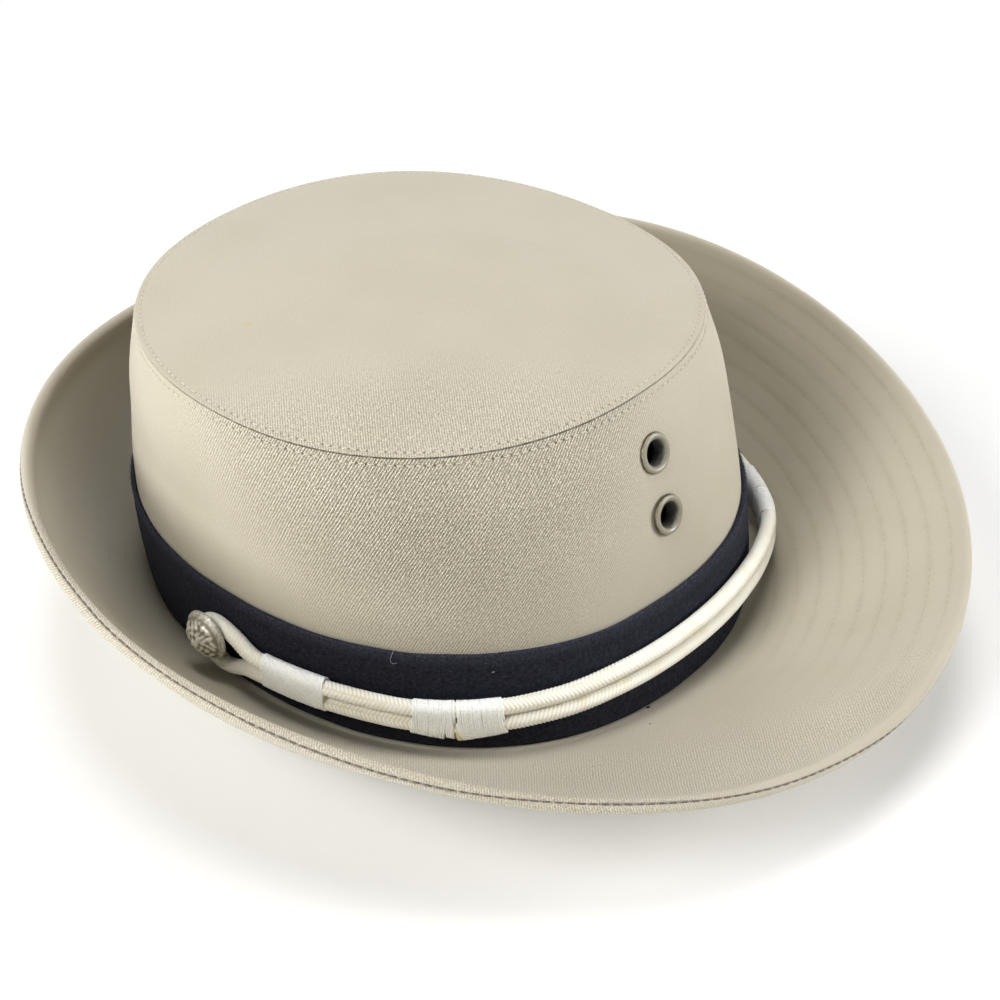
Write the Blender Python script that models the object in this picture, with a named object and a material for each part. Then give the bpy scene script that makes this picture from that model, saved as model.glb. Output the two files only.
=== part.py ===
"""Police hat: a cloth bush hat with a felt band and a doubled cord looped over two buttons.

The hat faces -Y, its wearer's left is +X, and the bottom edge of the crown stands on z = 0.
Angles run round the hat from the front, positive towards the wearer's left.
"""
import math

import bmesh
import bpy
from mathutils import Matrix, Vector

# Crown: ovals measured on the outer face of the cloth
BASE_HALF_LENGTH = 0.1010
BASE_HALF_WIDTH = 0.0900
TIP_HALF_LENGTH = 0.0867
TIP_HALF_WIDTH = 0.0857
TIP_SET_BACK = 0.0093
OVAL_POWER = 2.2
CROWN_HEIGHT = 0.0967
CROWN_CLOTH = 0.0024
WALL_BULGE = 0.0045
TIP_CLOTH = 0.0022
TIP_DOME = 0.0100
TIP_SADDLE = 0.0011

# Brim: its width is the longest distance from the crown to the rim, along the cloth
BRIM_WIDTH = 0.0785
BRIM_CLOTH = 0.0026
BRIM_SEAT = 0.0036
BRIM_CURL = 0.44
RIM_ROLL = 0.0042

# Felt band
BAND_TOP = 0.0382
BAND_FELT = 0.0016

# Cord, and the thread wound round its two strands
CORD_DIAMETER = 0.0051
THREAD = 0.0009
# Half the distance between the strands inside a winding, in cord diameters
WOUND_SPREAD = 0.54

# Side buttons
BUTTON_ANGLE = 91.5
BUTTON_HEIGHT = 0.0247
BUTTON_DIAMETER = 0.0165
BUTTON_DOME = 0.0052
BUTTON_PLATE = 0.0006
SHANK_DIAMETER = 0.0022

# Front eyelets: the upper one is placed from the seam round the tip, the lower one from the upper
EYELET_DROP = 0.0172
EYELET_SPACING = 0.0192
EYELET_DIAMETER = 0.0126
EYELET_BORE = 0.0076
EYELET_METAL = 0.0005
EYELET_ROLL = 0.0012

# Clearance between pieces that touch
GAP = 0.0003

# Facets round the hat, with one facet centred on the front
FACETS = 72
CORD_SIDES = 8
TURNED_SIDES = 16
EYELET_SIDES = 20

# Brim sections every 45 degrees from the front to the back: slope of the cloth in degrees where
# it leaves the crown and at the rim, and width as a share of BRIM_WIDTH
BRIM_SECTIONS = (
    {"start_slope": 10.0, "rim_slope": 26.0, "width": 0.980},
    {"start_slope": 8.7, "rim_slope": 49.0, "width": 0.956},
    {"start_slope": 12.2, "rim_slope": 65.0, "width": 1.000},
    {"start_slope": 17.9, "rim_slope": 81.0, "width": 0.853},
    {"start_slope": 0.0, "rim_slope": 87.0, "width": 0.784},
)

# Shares of the crown's height where its wall has a ring of corners; both eyelets fall between rings
WALL_RINGS = (0.0, 0.18, 0.36, 0.54, 0.74, 0.94, 1.0)

# Shares of the way from the centre to the edge of the tip
TIP_RINGS = (0.93, 0.75, 0.50, 0.25)

# Shares of the brim's width where its section has a corner, and corners of the rolled rim in degrees
BRIM_RINGS = (0.0, 0.04, 0.12, 0.24, 0.40, 0.58, 0.76, 0.93)
RIM_CORNERS = (120.0, 60.0, 0.0, -60.0, -120.0)

# Shares of the band's height where it has a ring of corners
BAND_RINGS = (0.0, 0.33, 0.67, 1.0)

# The wearer's left half of the cord, chosen by hand: angle from the front, height of the middle of
# the two strands as a share of BAND_TOP, half the distance between the strands in cord diameters,
# and 1 where the strands are lifted off the felt by a winding, 0 where they lie on it
CORD_ROUTE = (
    {"angle": 0.0, "middle": 0.615, "spread": 0.60, "lift": 0.0},
    {"angle": 8.0, "middle": 0.612, "spread": 0.60, "lift": 0.0},
    {"angle": 16.0, "middle": 0.596, "spread": 0.60, "lift": 0.0},
    {"angle": 25.0, "middle": 0.564, "spread": 0.56, "lift": 0.3},
    {"angle": 33.0, "middle": 0.550, "spread": WOUND_SPREAD, "lift": 0.9},
    {"angle": 38.0, "middle": 0.538, "spread": WOUND_SPREAD, "lift": 1.0},
    {"angle": 45.0, "middle": 0.521, "spread": WOUND_SPREAD, "lift": 1.0},
    {"angle": 52.0, "middle": 0.518, "spread": WOUND_SPREAD, "lift": 1.0},
    {"angle": 59.0, "middle": 0.528, "spread": WOUND_SPREAD, "lift": 0.9},
    {"angle": 66.0, "middle": 0.534, "spread": WOUND_SPREAD, "lift": 1.0},
    {"angle": 73.0, "middle": 0.536, "spread": WOUND_SPREAD, "lift": 1.0},
    {"angle": 79.0, "middle": 0.537, "spread": WOUND_SPREAD, "lift": 1.0},
    {"angle": 81.0, "middle": 0.537, "spread": 0.60, "lift": 0.9},
    {"angle": 83.0, "middle": 0.538, "spread": 0.76, "lift": 0.6},
    {"angle": 85.0, "middle": 0.540, "spread": 1.00, "lift": 0.2},
    {"angle": 88.0, "middle": 0.538, "spread": 1.38, "lift": 0.0},
    {"angle": 91.5, "middle": 0.535, "spread": 1.64, "lift": 0.0},
    {"angle": 94.5, "middle": 0.533, "spread": 1.52, "lift": 0.0},
    {"angle": 96.6, "middle": 0.532, "spread": 1.00, "lift": 0.0},
    {"angle": 97.3, "middle": 0.531, "spread": 0.00, "lift": 0.0},
)

# Windings of thread on the wearer's left half: angles of their two ends
WINDINGS = {
    "keeper_front": {"start": 36.8, "end": 43.7},
    "keeper_rear": {"start": 44.2, "end": 50.7},
    "whipping": {"start": 65.7, "end": 78.3},
}


def clear_scene():
    for old in list(bpy.data.objects):
        bpy.data.objects.remove(old, do_unlink=True)


def make_material(name, colour, roughness, metallic=0.0):
    material = bpy.data.materials.new(name)
    material.use_nodes = True
    shader = material.node_tree.nodes["Principled BSDF"]
    shader.inputs["Base Color"].default_value = (*colour, 1.0)
    shader.inputs["Roughness"].default_value = roughness
    shader.inputs["Metallic"].default_value = metallic
    return material


def add_object(name, mesh, material):
    piece = bpy.data.objects.new(name, mesh)
    bpy.context.scene.collection.objects.link(piece)
    mesh.materials.append(material)
    mesh.shade_smooth()
    mesh.set_sharp_from_angle(angle=math.radians(40))
    return piece


def facet_angles():
    return [math.tau * (i + 0.5) / FACETS for i in range(FACETS)]


def oval(angle, half_length, half_width):
    """A point of a superellipse; angle 0 is the front, at -Y."""
    side = math.sin(angle)
    back = -math.cos(angle)
    reach = (abs(side / half_width) ** OVAL_POWER + abs(back / half_length) ** OVAL_POWER) ** (-1 / OVAL_POWER)
    return Vector((reach * side, reach * back, 0.0))


def wall_row(angle, share):
    """A point of the crown's wall before its bulge, at a share of the height."""
    base = oval(angle, BASE_HALF_LENGTH, BASE_HALF_WIDTH)
    tip = oval(angle, TIP_HALF_LENGTH, TIP_HALF_WIDTH) + Vector((0.0, TIP_SET_BACK, 0.0))
    return base.lerp(tip, share)


def outward(angle, share):
    """The level direction out of the crown's wall."""
    step = 0.001
    along = wall_row(angle + step, share) - wall_row(angle - step, share)
    return Vector((along.y, -along.x, 0.0)).normalized()


def seam_height(angle):
    return CROWN_HEIGHT + TIP_SADDLE * math.cos(2 * angle)


def wall_point(angle, height, out=0.0):
    """A point on the outer face of the crown, or standing off it by out."""
    share = height / seam_height(angle)
    bulge = 4 * WALL_BULGE * share * (1 - share)
    point = wall_row(angle, share) + outward(angle, share) * (bulge + out)
    point.z = height
    return point


def round_the_hat(column, angle):
    """An even curve through a column of BRIM_SECTIONS, smooth at the front and the back."""
    values = [row[column] for row in BRIM_SECTIONS]
    last = len(values) - 1
    total = 0.0
    for wave in range(last + 1):
        weight = 0.0
        for i, value in enumerate(values):
            end = 0.5 if i in (0, last) else 1.0
            weight += end * value * math.cos(math.pi * i * wave / last)
        half = 0.5 if wave in (0, last) else 1.0
        total += half * weight * math.cos(wave * angle)
    return total * 2 / last


def band_foot(angle):
    """Height of the band's lower edge, just clear of the brim's upper face."""
    out, up, slope = brim_line(angle)[1]
    return BRIM_SEAT + GAP + (GAP + BAND_FELT) * max(0.0, up / out)


def band_point(angle, height, out=0.0):
    return wall_point(angle, height, GAP + BAND_FELT + out)


def ring_mesh(name, sections):
    """A closed ring whose cross-sections are closed outlines of equal count."""
    shape = bmesh.new()
    rings = [[shape.verts.new(point) for point in section] for section in sections]
    count = len(rings[0])
    for i, ring in enumerate(rings):
        following = rings[(i + 1) % len(rings)]
        for j in range(count):
            k = (j + 1) % count
            shape.faces.new((ring[j], following[j], following[k], ring[k]))
    return finish_mesh(name, shape)


def finish_mesh(name, shape):
    bmesh.ops.recalc_face_normals(shape, faces=shape.faces)
    bmesh.ops.triangulate(shape, faces=shape.faces)
    mesh = bpy.data.meshes.new(name)
    shape.to_mesh(mesh)
    shape.free()
    return mesh


def seam_clearance():
    """Upright gap across the mitred seam that leaves GAP square to the mitre."""
    return GAP * math.sqrt(2)


def make_crown_side(material):
    sections = []
    for angle in facet_angles():
        top = seam_height(angle)
        outer = [wall_point(angle, top * share) for share in WALL_RINGS]
        inner = []
        for share in WALL_RINGS:
            height = min(top * share, top - CROWN_CLOTH)
            inner.append(wall_point(angle, height, -CROWN_CLOTH))
        sections.append(outer + inner[::-1])
    side = add_object("crown_side", ring_mesh("crown_side", sections), material)
    for height in eyelet_heights():
        cut_eyelet_hole(side, height)
    return side


def make_crown_tip(material):
    shape = bmesh.new()
    rise = seam_clearance()
    centre = Vector((0.0, TIP_SET_BACK, 0.0))

    def surface(angle, share, depth):
        edge = wall_point(angle, seam_height(angle))
        point = centre + (edge - centre) * share
        point.z = CROWN_HEIGHT + TIP_SADDLE * math.cos(2 * angle) * share ** 2
        point.z += TIP_DOME * (1 - share ** 2) + rise - depth
        return point

    angles = facet_angles()
    rings = [[surface(angle, share, TIP_CLOTH) for angle in angles] for share in TIP_RINGS[::-1]]
    mitre = []
    for angle in angles:
        corner = wall_point(angle, seam_height(angle) - CROWN_CLOTH, -CROWN_CLOTH)
        mitre.append(corner + Vector((0.0, 0.0, rise)))
    rings.append(mitre)
    rings += [[surface(angle, share, 0.0) for angle in angles] for share in (1.0,) + TIP_RINGS]
    rows = [[shape.verts.new(point) for point in ring] for ring in rings]
    for low, high in zip(rows, rows[1:]):
        for i in range(FACETS):
            k = (i + 1) % FACETS
            shape.faces.new((low[i], low[k], high[k], high[i]))
    for row, depth in ((rows[0], TIP_CLOTH), (rows[-1], 0.0)):
        middle = shape.verts.new(surface(0.0, 0.0, depth))
        for i in range(FACETS):
            shape.faces.new((row[i], row[(i + 1) % FACETS], middle))
    return add_object("crown_tip", finish_mesh("crown_tip", shape), material)


def brim_line(angle):
    """Points of the brim's upper face from the crown to the rim: out, up and slope at each ring."""
    start = math.radians(round_the_hat("start_slope", angle))
    rim = math.radians(round_the_hat("rim_slope", angle))
    width = BRIM_WIDTH * round_the_hat("width", angle)
    steps = 100
    out = 0.0
    up = 0.0
    line = []
    rings = [round(share * steps) for share in BRIM_RINGS] + [steps]
    for step in range(steps + 1):
        if step in rings:
            line.append((out, up, start + (rim - start) * (step / steps) ** BRIM_CURL))
        slope = start + (rim - start) * ((step + 0.5) / steps) ** BRIM_CURL
        out += math.cos(slope) * width / steps
        up += math.sin(slope) * width / steps
    return line


def make_brim(material):
    sections = []
    for angle in facet_angles():
        seat = wall_point(angle, BRIM_SEAT, GAP)
        away = outward(angle, 0.0)
        line = brim_line(angle)
        upper = [seat + away * out + Vector((0.0, 0.0, up)) for out, up, slope in line[:-1]]
        start_slope = line[0][2]
        lower = [wall_point(angle, BRIM_SEAT - BRIM_CLOTH / math.cos(start_slope), GAP)]
        for out, up, slope in line[1:-1]:
            down = away * math.sin(slope) - Vector((0.0, 0.0, math.cos(slope)))
            lower.append(seat + away * out + Vector((0.0, 0.0, up)) + down * BRIM_CLOTH)
        out, up, slope = line[-1]
        along = away * math.cos(slope) + Vector((0.0, 0.0, math.sin(slope)))
        across = Vector((0.0, 0.0, math.cos(slope))) - away * math.sin(slope)
        core = seat + away * out + Vector((0.0, 0.0, up)) - across * BRIM_CLOTH / 2
        roll = []
        for corner in RIM_CORNERS:
            turn = math.radians(corner)
            roll.append(core + (along * math.cos(turn) + across * math.sin(turn)) * RIM_ROLL / 2)
        sections.append(upper + roll + lower[::-1])
    return add_object("brim", ring_mesh("brim", sections), material)


def make_hat_band(material):
    sections = []
    for angle in facet_angles():
        foot = band_foot(angle)
        heights = [foot + (BAND_TOP - foot) * share for share in BAND_RINGS]
        outer = [band_point(angle, height) for height in heights]
        inner = [wall_point(angle, height, GAP) for height in heights]
        sections.append(outer + inner[::-1])
    return add_object("hat_band", ring_mesh("hat_band", sections), material)


def blend(values, places, place):
    """A smooth curve through values at places, level or gently sloped at each one."""
    last = len(places) - 1
    i = 0
    while i < last - 1 and place > places[i + 1]:
        i += 1
    width = places[i + 1] - places[i]
    share = (place - places[i]) / width

    def slope(k):
        low = max(0, k - 1)
        high = min(last, k + 1)
        return (values[high] - values[low]) / (places[high] - places[low])

    square = share * share
    cube = square * share
    return (
        (2 * cube - 3 * square + 1) * values[i]
        + (cube - 2 * square + share) * width * slope(i)
        + (3 * square - 2 * cube) * values[i + 1]
        + (cube - square) * width * slope(i + 1)
    )


def cord_row(angle):
    """Height of the middle of the two strands and how far they stand off the band."""
    places = [row["angle"] for row in CORD_ROUTE]
    place = min(abs(angle), places[-1])
    middle = blend([row["middle"] for row in CORD_ROUTE], places, place) * BAND_TOP
    lift = blend([row["lift"] for row in CORD_ROUTE], places, place)
    out = GAP + CORD_DIAMETER / 2 + lift * (THREAD + GAP)
    return middle, out


def cord_points():
    """The closed loop of the cord: the upper strand from right to left, then the lower one back."""
    half = []
    for row in CORD_ROUTE:
        half.append((row["angle"], row["spread"]))
    upper = [(-angle, spread) for angle, spread in half[::-1]] + half[1:]
    lower = [(angle, -spread) for angle, spread in upper[-2:0:-1]]
    points = []
    for angle, spread in upper + lower:
        middle, out = cord_row(angle)
        height = middle + spread * CORD_DIAMETER
        points.append(band_point(math.radians(angle), height, out))
    return points


def smooth_loop(points, steps):
    """A Catmull-Rom curve through a closed list of points."""
    count = len(points)
    result = []
    for i in range(count):
        a, b, c, d = (points[(i + k) % count] for k in (-1, 0, 1, 2))
        parts = max(1, round(steps * (c - b).length / CORD_DIAMETER))
        for step in range(parts):
            t = step / parts
            result.append(0.5 * (2 * b + (c - a) * t + (2 * a - 5 * b + 4 * c - d) * t ** 2
                                 + (3 * b - a - 3 * c + d) * t ** 3))
    return result


def make_cord(material):
    path = smooth_loop(cord_points(), 0.6)
    sections = []
    for i, point in enumerate(path):
        along = (path[(i + 1) % len(path)] - path[i - 1]).normalized()
        side = Vector((point.x, point.y, 0.0))
        side = (side - along * side.dot(along)).normalized()
        up = side.cross(along)
        ring = []
        for k in range(CORD_SIDES):
            turn = math.tau * (k + 0.5) / CORD_SIDES
            ring.append(point + (side * math.cos(turn) + up * math.sin(turn)) * CORD_DIAMETER / 2)
        sections.append(ring)
    return add_object("cord", ring_mesh("cord", sections), material)


def racetrack(half_height, radius, corners):
    """Corners of a tall outline with round ends, as (out, up) pairs."""
    outline = []
    for k in range(corners):
        turn = math.tau * (k + 0.5) / corners
        lift = half_height if math.sin(turn) > 0 else -half_height
        outline.append((radius * math.cos(turn), lift + radius * math.sin(turn)))
    return outline


def make_winding(name, start, end, side, material):
    """A sleeve of thread round both strands of the cord between two angles."""
    corners = 12
    half_height = WOUND_SPREAD * CORD_DIAMETER
    bore = racetrack(half_height, CORD_DIAMETER / 2 + GAP, corners)
    skin = racetrack(half_height, CORD_DIAMETER / 2 + GAP + THREAD - GAP / 2, corners)
    reach = math.radians(end - start) * BASE_HALF_WIDTH
    parts = max(2, math.ceil(reach / (1.6 * CORD_DIAMETER)))
    shape = bmesh.new()
    rows = []
    for step in range(parts + 1):
        angle = side * (start + (end - start) * step / parts)
        middle, out = cord_row(angle)
        row = []
        for outline in (skin, bore):
            row.append([shape.verts.new(band_point(math.radians(angle), middle + up, out + away))
                        for away, up in outline])
        rows.append(row)
    for row, following in zip(rows, rows[1:]):
        for outline in (0, 1):
            for k in range(corners):
                m = (k + 1) % corners
                shape.faces.new((row[outline][k], following[outline][k], following[outline][m], row[outline][m]))
    for row in (rows[0], rows[-1]):
        for k in range(corners):
            m = (k + 1) % corners
            shape.faces.new((row[0][k], row[0][m], row[1][m], row[1][k]))
    return add_object(name, finish_mesh(name, shape), material)


def turned_mesh(name, profile, sides, closed):
    """A turned solid about Z from (radius, height) pairs; closed where the profile is a loop."""
    shape = bmesh.new()
    rows = []
    for radius, height in profile:
        if radius == 0.0:
            rows.append([shape.verts.new((0.0, 0.0, height))] * sides)
            continue
        rows.append([shape.verts.new((radius * math.cos(math.tau * k / sides),
                                      radius * math.sin(math.tau * k / sides), height)) for k in range(sides)])
    pairs = list(zip(rows, rows[1:]))
    if closed:
        pairs.append((rows[-1], rows[0]))
    for low, high in pairs:
        for k in range(sides):
            m = (k + 1) % sides
            corners = [low[k], low[m], high[m], high[k]]
            face = [corner for i, corner in enumerate(corners) if corner not in corners[:i]]
            shape.faces.new(face)
    return finish_mesh(name, shape)


def seat_on(piece, point, axis):
    """Places a turned piece with its +Z along an axis."""
    piece.matrix_world = Matrix.Translation(point) @ axis.to_track_quat("Z", "Y").to_matrix().to_4x4()


def wall_axis(angle, height):
    """The direction square to the crown's wall, up or down included."""
    step = 0.001
    up = wall_point(angle, height + step) - wall_point(angle, height - step)
    around = wall_point(angle + step, height) - wall_point(angle - step, height)
    return around.cross(up).normalized()


def make_button(name, side, material):
    """A domed button whose shank stands on the band inside the loop of the cord."""
    angle = side * math.radians(BUTTON_ANGLE)
    back = 2 * GAP + CORD_DIAMETER
    radius = BUTTON_DIAMETER / 2
    face = back + BUTTON_PLATE
    profile = [
        (0.0, GAP),
        (SHANK_DIAMETER / 2, GAP),
        (SHANK_DIAMETER / 2, back),
        (radius * 0.94, back),
        (radius, face),
        (radius * 0.94, face + BUTTON_DOME * 0.28),
        (radius * 0.72, face + BUTTON_DOME * 0.66),
        (radius * 0.40, face + BUTTON_DOME * 0.92),
        (0.0, face + BUTTON_DOME),
    ]
    piece = add_object(name, turned_mesh(name, profile, TURNED_SIDES, closed=False), material)
    seat_on(piece, band_point(angle, BUTTON_HEIGHT), wall_axis(angle, BUTTON_HEIGHT))
    return piece


def eyelet_heights():
    upper = seam_height(0.0) - EYELET_DROP
    return upper, upper - EYELET_SPACING


def cut_eyelet_hole(side, height):
    radius = EYELET_BORE / 2 + EYELET_METAL + GAP
    profile = [(0.0, -3 * CROWN_CLOTH), (radius, -3 * CROWN_CLOTH), (radius, CROWN_CLOTH), (0.0, CROWN_CLOTH)]
    mesh = turned_mesh("eyelet_hole", profile, EYELET_SIDES, closed=False)
    cutter = bpy.data.objects.new("eyelet_hole", mesh)
    bpy.context.scene.collection.objects.link(cutter)
    seat_on(cutter, wall_point(0.0, height), wall_axis(0.0, height))
    cutter.hide_render = True
    cutter.display_type = "WIRE"
    cut = side.modifiers.new("eyelet_hole", "BOOLEAN")
    cut.operation = "DIFFERENCE"
    cut.solver = "EXACT"
    cut.object = cutter


def make_eyelet(name, height, material):
    """A tube through the wall, with a rolled flange on each face of the cloth."""
    bore = EYELET_BORE / 2
    tube = bore + EYELET_METAL
    flange = EYELET_DIAMETER / 2
    front = GAP
    rear = -CROWN_CLOTH - 2 * GAP
    profile = [
        (tube, front),
        (flange, front),
        (flange, front + EYELET_ROLL * 0.35),
        (flange - EYELET_ROLL * 0.5, front + EYELET_ROLL * 0.9),
        (flange - EYELET_ROLL, front + EYELET_ROLL),
        (bore + EYELET_ROLL * 0.4, front + EYELET_ROLL * 0.8),
        (bore, front + EYELET_ROLL * 0.2),
        (bore, rear - EYELET_ROLL * 0.5),
        (tube, rear - EYELET_ROLL),
        (flange - EYELET_ROLL, rear - EYELET_ROLL),
        (flange - EYELET_ROLL * 0.4, rear - EYELET_ROLL * 0.4),
        (flange - EYELET_ROLL * 0.6, rear),
        (tube, rear),
    ]
    piece = add_object(name, turned_mesh(name, profile, EYELET_SIDES, closed=True), material)
    seat_on(piece, wall_point(0.0, height), wall_axis(0.0, height))
    return piece


def rim_reach(angle):
    """How far along Y the outside of the rim lies at the front or the back."""
    out, up, slope = brim_line(angle)[-1]
    core = out + math.sin(slope) * BRIM_CLOTH / 2
    return wall_point(angle, BRIM_SEAT, GAP).y + outward(angle, 0.0).y * (core + RIM_ROLL / 2)


def centre_on_origin():
    """Moves every piece so that the middle of the brim, front to back, lies over the origin."""
    anchor = bpy.data.objects.new("hat", None)
    bpy.context.scene.collection.objects.link(anchor)
    for piece in list(bpy.context.scene.collection.objects):
        if piece is not anchor:
            piece.parent = anchor
    anchor.location.y = -(rim_reach(0.0) + rim_reach(math.pi)) / 2


def build():
    clear_scene()
    drill = make_material("khaki_drill", (0.62, 0.56, 0.44), 0.9)
    felt = make_material("navy_felt", (0.012, 0.014, 0.026), 1.0)
    braid = make_material("cream_braid", (0.86, 0.81, 0.66), 0.75)
    thread = make_material("white_thread", (0.90, 0.88, 0.80), 0.6)
    silver = make_material("old_silver", (0.56, 0.53, 0.46), 0.4, 1.0)
    enamel = make_material("khaki_enamel", (0.50, 0.45, 0.36), 0.35, 0.4)
    make_crown_side(drill)
    make_crown_tip(drill)
    make_brim(drill)
    make_hat_band(felt)
    make_cord(braid)
    for label, side in (("right", -1), ("left", 1)):
        for kind, ends in WINDINGS.items():
            make_winding(f"{kind}_{label}", ends["start"], ends["end"], side, thread)
        make_button(f"button_{label}", side, silver)
    for label, height in zip(("upper", "lower"), eyelet_heights()):
        make_eyelet(f"eyelet_{label}", height, enamel)
    centre_on_origin()


build()
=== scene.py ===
"""Looks of the police hat: cloth, felt, cord, wound thread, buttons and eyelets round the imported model.

Lengths are in metres. Angles run round the hat from its front, at -Y, positive towards the wearer's left.
"""
import math

import bpy
import numpy as np
from mathutils import Matrix, Vector


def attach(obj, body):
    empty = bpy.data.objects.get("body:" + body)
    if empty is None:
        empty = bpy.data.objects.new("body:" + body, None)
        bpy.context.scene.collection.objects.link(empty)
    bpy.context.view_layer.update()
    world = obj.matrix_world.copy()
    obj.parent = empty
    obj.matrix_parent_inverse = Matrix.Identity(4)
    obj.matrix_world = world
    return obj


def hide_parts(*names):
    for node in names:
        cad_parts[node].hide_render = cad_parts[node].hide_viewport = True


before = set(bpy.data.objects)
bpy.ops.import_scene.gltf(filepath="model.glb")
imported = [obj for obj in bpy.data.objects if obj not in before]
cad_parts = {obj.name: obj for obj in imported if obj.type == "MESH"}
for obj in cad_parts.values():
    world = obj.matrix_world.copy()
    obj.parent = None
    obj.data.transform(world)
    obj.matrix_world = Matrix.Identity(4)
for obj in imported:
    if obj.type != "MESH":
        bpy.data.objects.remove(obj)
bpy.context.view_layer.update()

MM = 0.001

# Crown: ovals measured on the outer face of the cloth
BASE_HALF_LENGTH = 0.1010
BASE_HALF_WIDTH = 0.0900
TIP_HALF_LENGTH = 0.0867
TIP_HALF_WIDTH = 0.0857
TIP_SET_BACK = 0.0093
OVAL_POWER = 2.2
CROWN_HEIGHT = 0.0967
CROWN_CLOTH = 0.0024
WALL_BULGE = 0.0045
TIP_CLOTH = 0.0022
TIP_DOME = 0.0100
TIP_SADDLE = 0.0011

# Brim
BRIM_WIDTH = 0.0785
BRIM_CLOTH = 0.0026
BRIM_SEAT = 0.0036
BRIM_CURL = 0.44
RIM_ROLL = 0.0042
# Its slopes in degrees and its width as a share of BRIM_WIDTH, evenly spaced from the front to the back
BRIM_SECTIONS = {
    "start_slope": (10.0, 8.7, 12.2, 17.9, 0.0),
    "rim_slope": (26.0, 49.0, 65.0, 81.0, 87.0),
    "width": (0.980, 0.956, 1.000, 0.853, 0.784),
}

# Felt band, cord and thread
BAND_TOP = 0.0382
BAND_FELT = 0.0016
FIBRES = 7500
FIBRE_RADIUS = 0.00003
CORD_DIAMETER = 0.0051
THREAD = 0.0009
WOUND_SPREAD = 0.54
GAP = 0.0003

# Buttons and eyelets
BUTTON_ANGLE = 91.5
BUTTON_HEIGHT = 0.0247
BUTTON_DIAMETER = 0.0165
BUTTON_DOME = 0.0052
BUTTON_PLATE = 0.0006
BUTTON_SEGMENTS = 144
LEAF_HEIGHT = 0.00062
BOSS_HEIGHT = 0.00020
RIDGE_HEIGHT = 0.00008
LIP_HEIGHT = 0.00018
SHANK_DIAMETER = 0.0022
EYELET_DROP = 0.0172
EYELET_SPACING = 0.0192
EYELET_DIAMETER = 0.0126
EYELET_BORE = 0.0076
EYELET_METAL = 0.0005
EYELET_ROLL = 0.0012

# The wearer's left half of the cord: angle from the front, height of the middle of the two strands as a share
# of BAND_TOP, half the distance between the strands in cord diameters, and 1 where a winding lifts them off
CORD_COLUMNS = ("angle", "middle", "spread", "lift")
CORD_ROUTE = (
    (0.0, 0.615, 0.565, 0.0),
    (8.0, 0.612, 0.565, 0.0),
    (16.0, 0.596, 0.565, 0.0),
    (25.0, 0.564, 0.545, 0.3),
    (33.0, 0.550, WOUND_SPREAD, 0.9),
    (38.0, 0.538, WOUND_SPREAD, 1.0),
    (45.0, 0.521, WOUND_SPREAD, 1.0),
    (52.0, 0.518, WOUND_SPREAD, 1.0),
    (59.0, 0.528, WOUND_SPREAD, 0.9),
    (66.0, 0.534, WOUND_SPREAD, 1.0),
    (73.0, 0.536, WOUND_SPREAD, 1.0),
    (79.0, 0.537, WOUND_SPREAD, 1.0),
    (81.0, 0.537, 0.60, 0.9),
    (83.0, 0.538, 0.76, 0.6),
    (85.0, 0.536, 1.02, 0.2),
    (88.0, 0.526, 1.40, 0.0),
    (90.8, 0.518, 1.55, 0.0),
    (93.0, 0.516, 1.34, 0.0),
    (94.5, 0.516, 0.88, 0.0),
    (95.0, 0.516, 0.00, 0.0),
)

# Windings of thread round both strands: the angles of their two ends, how unevenly the turns lie, how far
# they stand out above the upper strand, how far below the lower strand at each end, the share of the turns
# that lies apart at the start, and how many degrees the lower half of each turn leans back
WINDINGS = {
    "keeper_front": {"ends": (36.8, 43.9), "uneven": 0.18, "top": 0.0, "foot": (0.0008, 0.0028), "apart": 0.0,
                     "lean": -0.65},
    "keeper_rear": {"ends": (44.2, 50.7), "uneven": 0.19, "top": 0.0, "foot": (0.0028, 0.0006), "apart": 0.22,
                    "lean": 0.55},
    "whipping": {"ends": (65.7, 78.3), "uneven": 0.14, "top": 0.0008, "foot": (0.0, 0.0), "apart": 0.0,
                 "lean": 0.0},
}
WINDING_PITCH = 0.00056
WINDING_THREAD = 1.3 * WINDING_PITCH / 2
POINTS_PER_TURN = 32
# Turns that lie apart hang this much lower, and lean this many degrees further
APART_DROP = 0.0007
APART_LEAN = 0.42

# Plait of the cord: pitch of its ribs, how far a rib runs on across one of the four columns, in
# pitches, and the depth of the furrows; rings and sides of the cord's mesh
PLAIT_PITCH = 0.00128
PLAIT_SLANT = 1.5
PLAIT_DEPTH = 0.00028
CORD_RINGS = 3400
CORD_SIDES = 24

# Twill: pitch of the ribs, their direction where a cloth's map runs level, and the radius of the flat
# pattern that the crown's side is cut to
RIB_PITCH = 0.00078
TIP_RIB_PITCH = 0.00071
SIDE_RIB_DIRECTION = 41.0
TIP_RIB_DIRECTION = 49.0
BRIM_RIB_DIRECTION = 43.0
SIDE_PATTERN_RADIUS = 0.340
SIDE_PATTERN_LEVEL = 0.055

# Stitching
SEAM_STITCH = 0.0027
SEAM_ROW = 0.0019
SEAM_THREAD = 0.00022
BRIM_STITCH = 0.0029
BRIM_ROW_PITCH = 0.00755
BRIM_FIRST_ROW = 0.0037
BRIM_ROWS = 10
# How far from the rim each row lies along which the cloth is drawn in
DIPPED_ROWS = BRIM_FIRST_ROW + np.arange(8) * BRIM_ROW_PITCH
BRIM_THREAD = 0.00018
RIM_STITCH = 0.0031
RIM_THREAD = 0.00030
# Where the seam between the rim's upper and lower cloths lies round the roll, in degrees from its outermost
# line, at each angle from the front
RIM_SEAM = {-125.0: -60.0, -107.0: 0.0, -94.0: 14.0, -80.0: 2.0, -63.0: -20.0, -53.0: -30.0, -42.0: -22.0,
            -35.0: 16.0, -24.0: 24.0, -17.0: 2.0, -8.0: 8.0, -1.0: -36.0, 5.0: -58.0, 125.0: -60.0}
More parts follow.
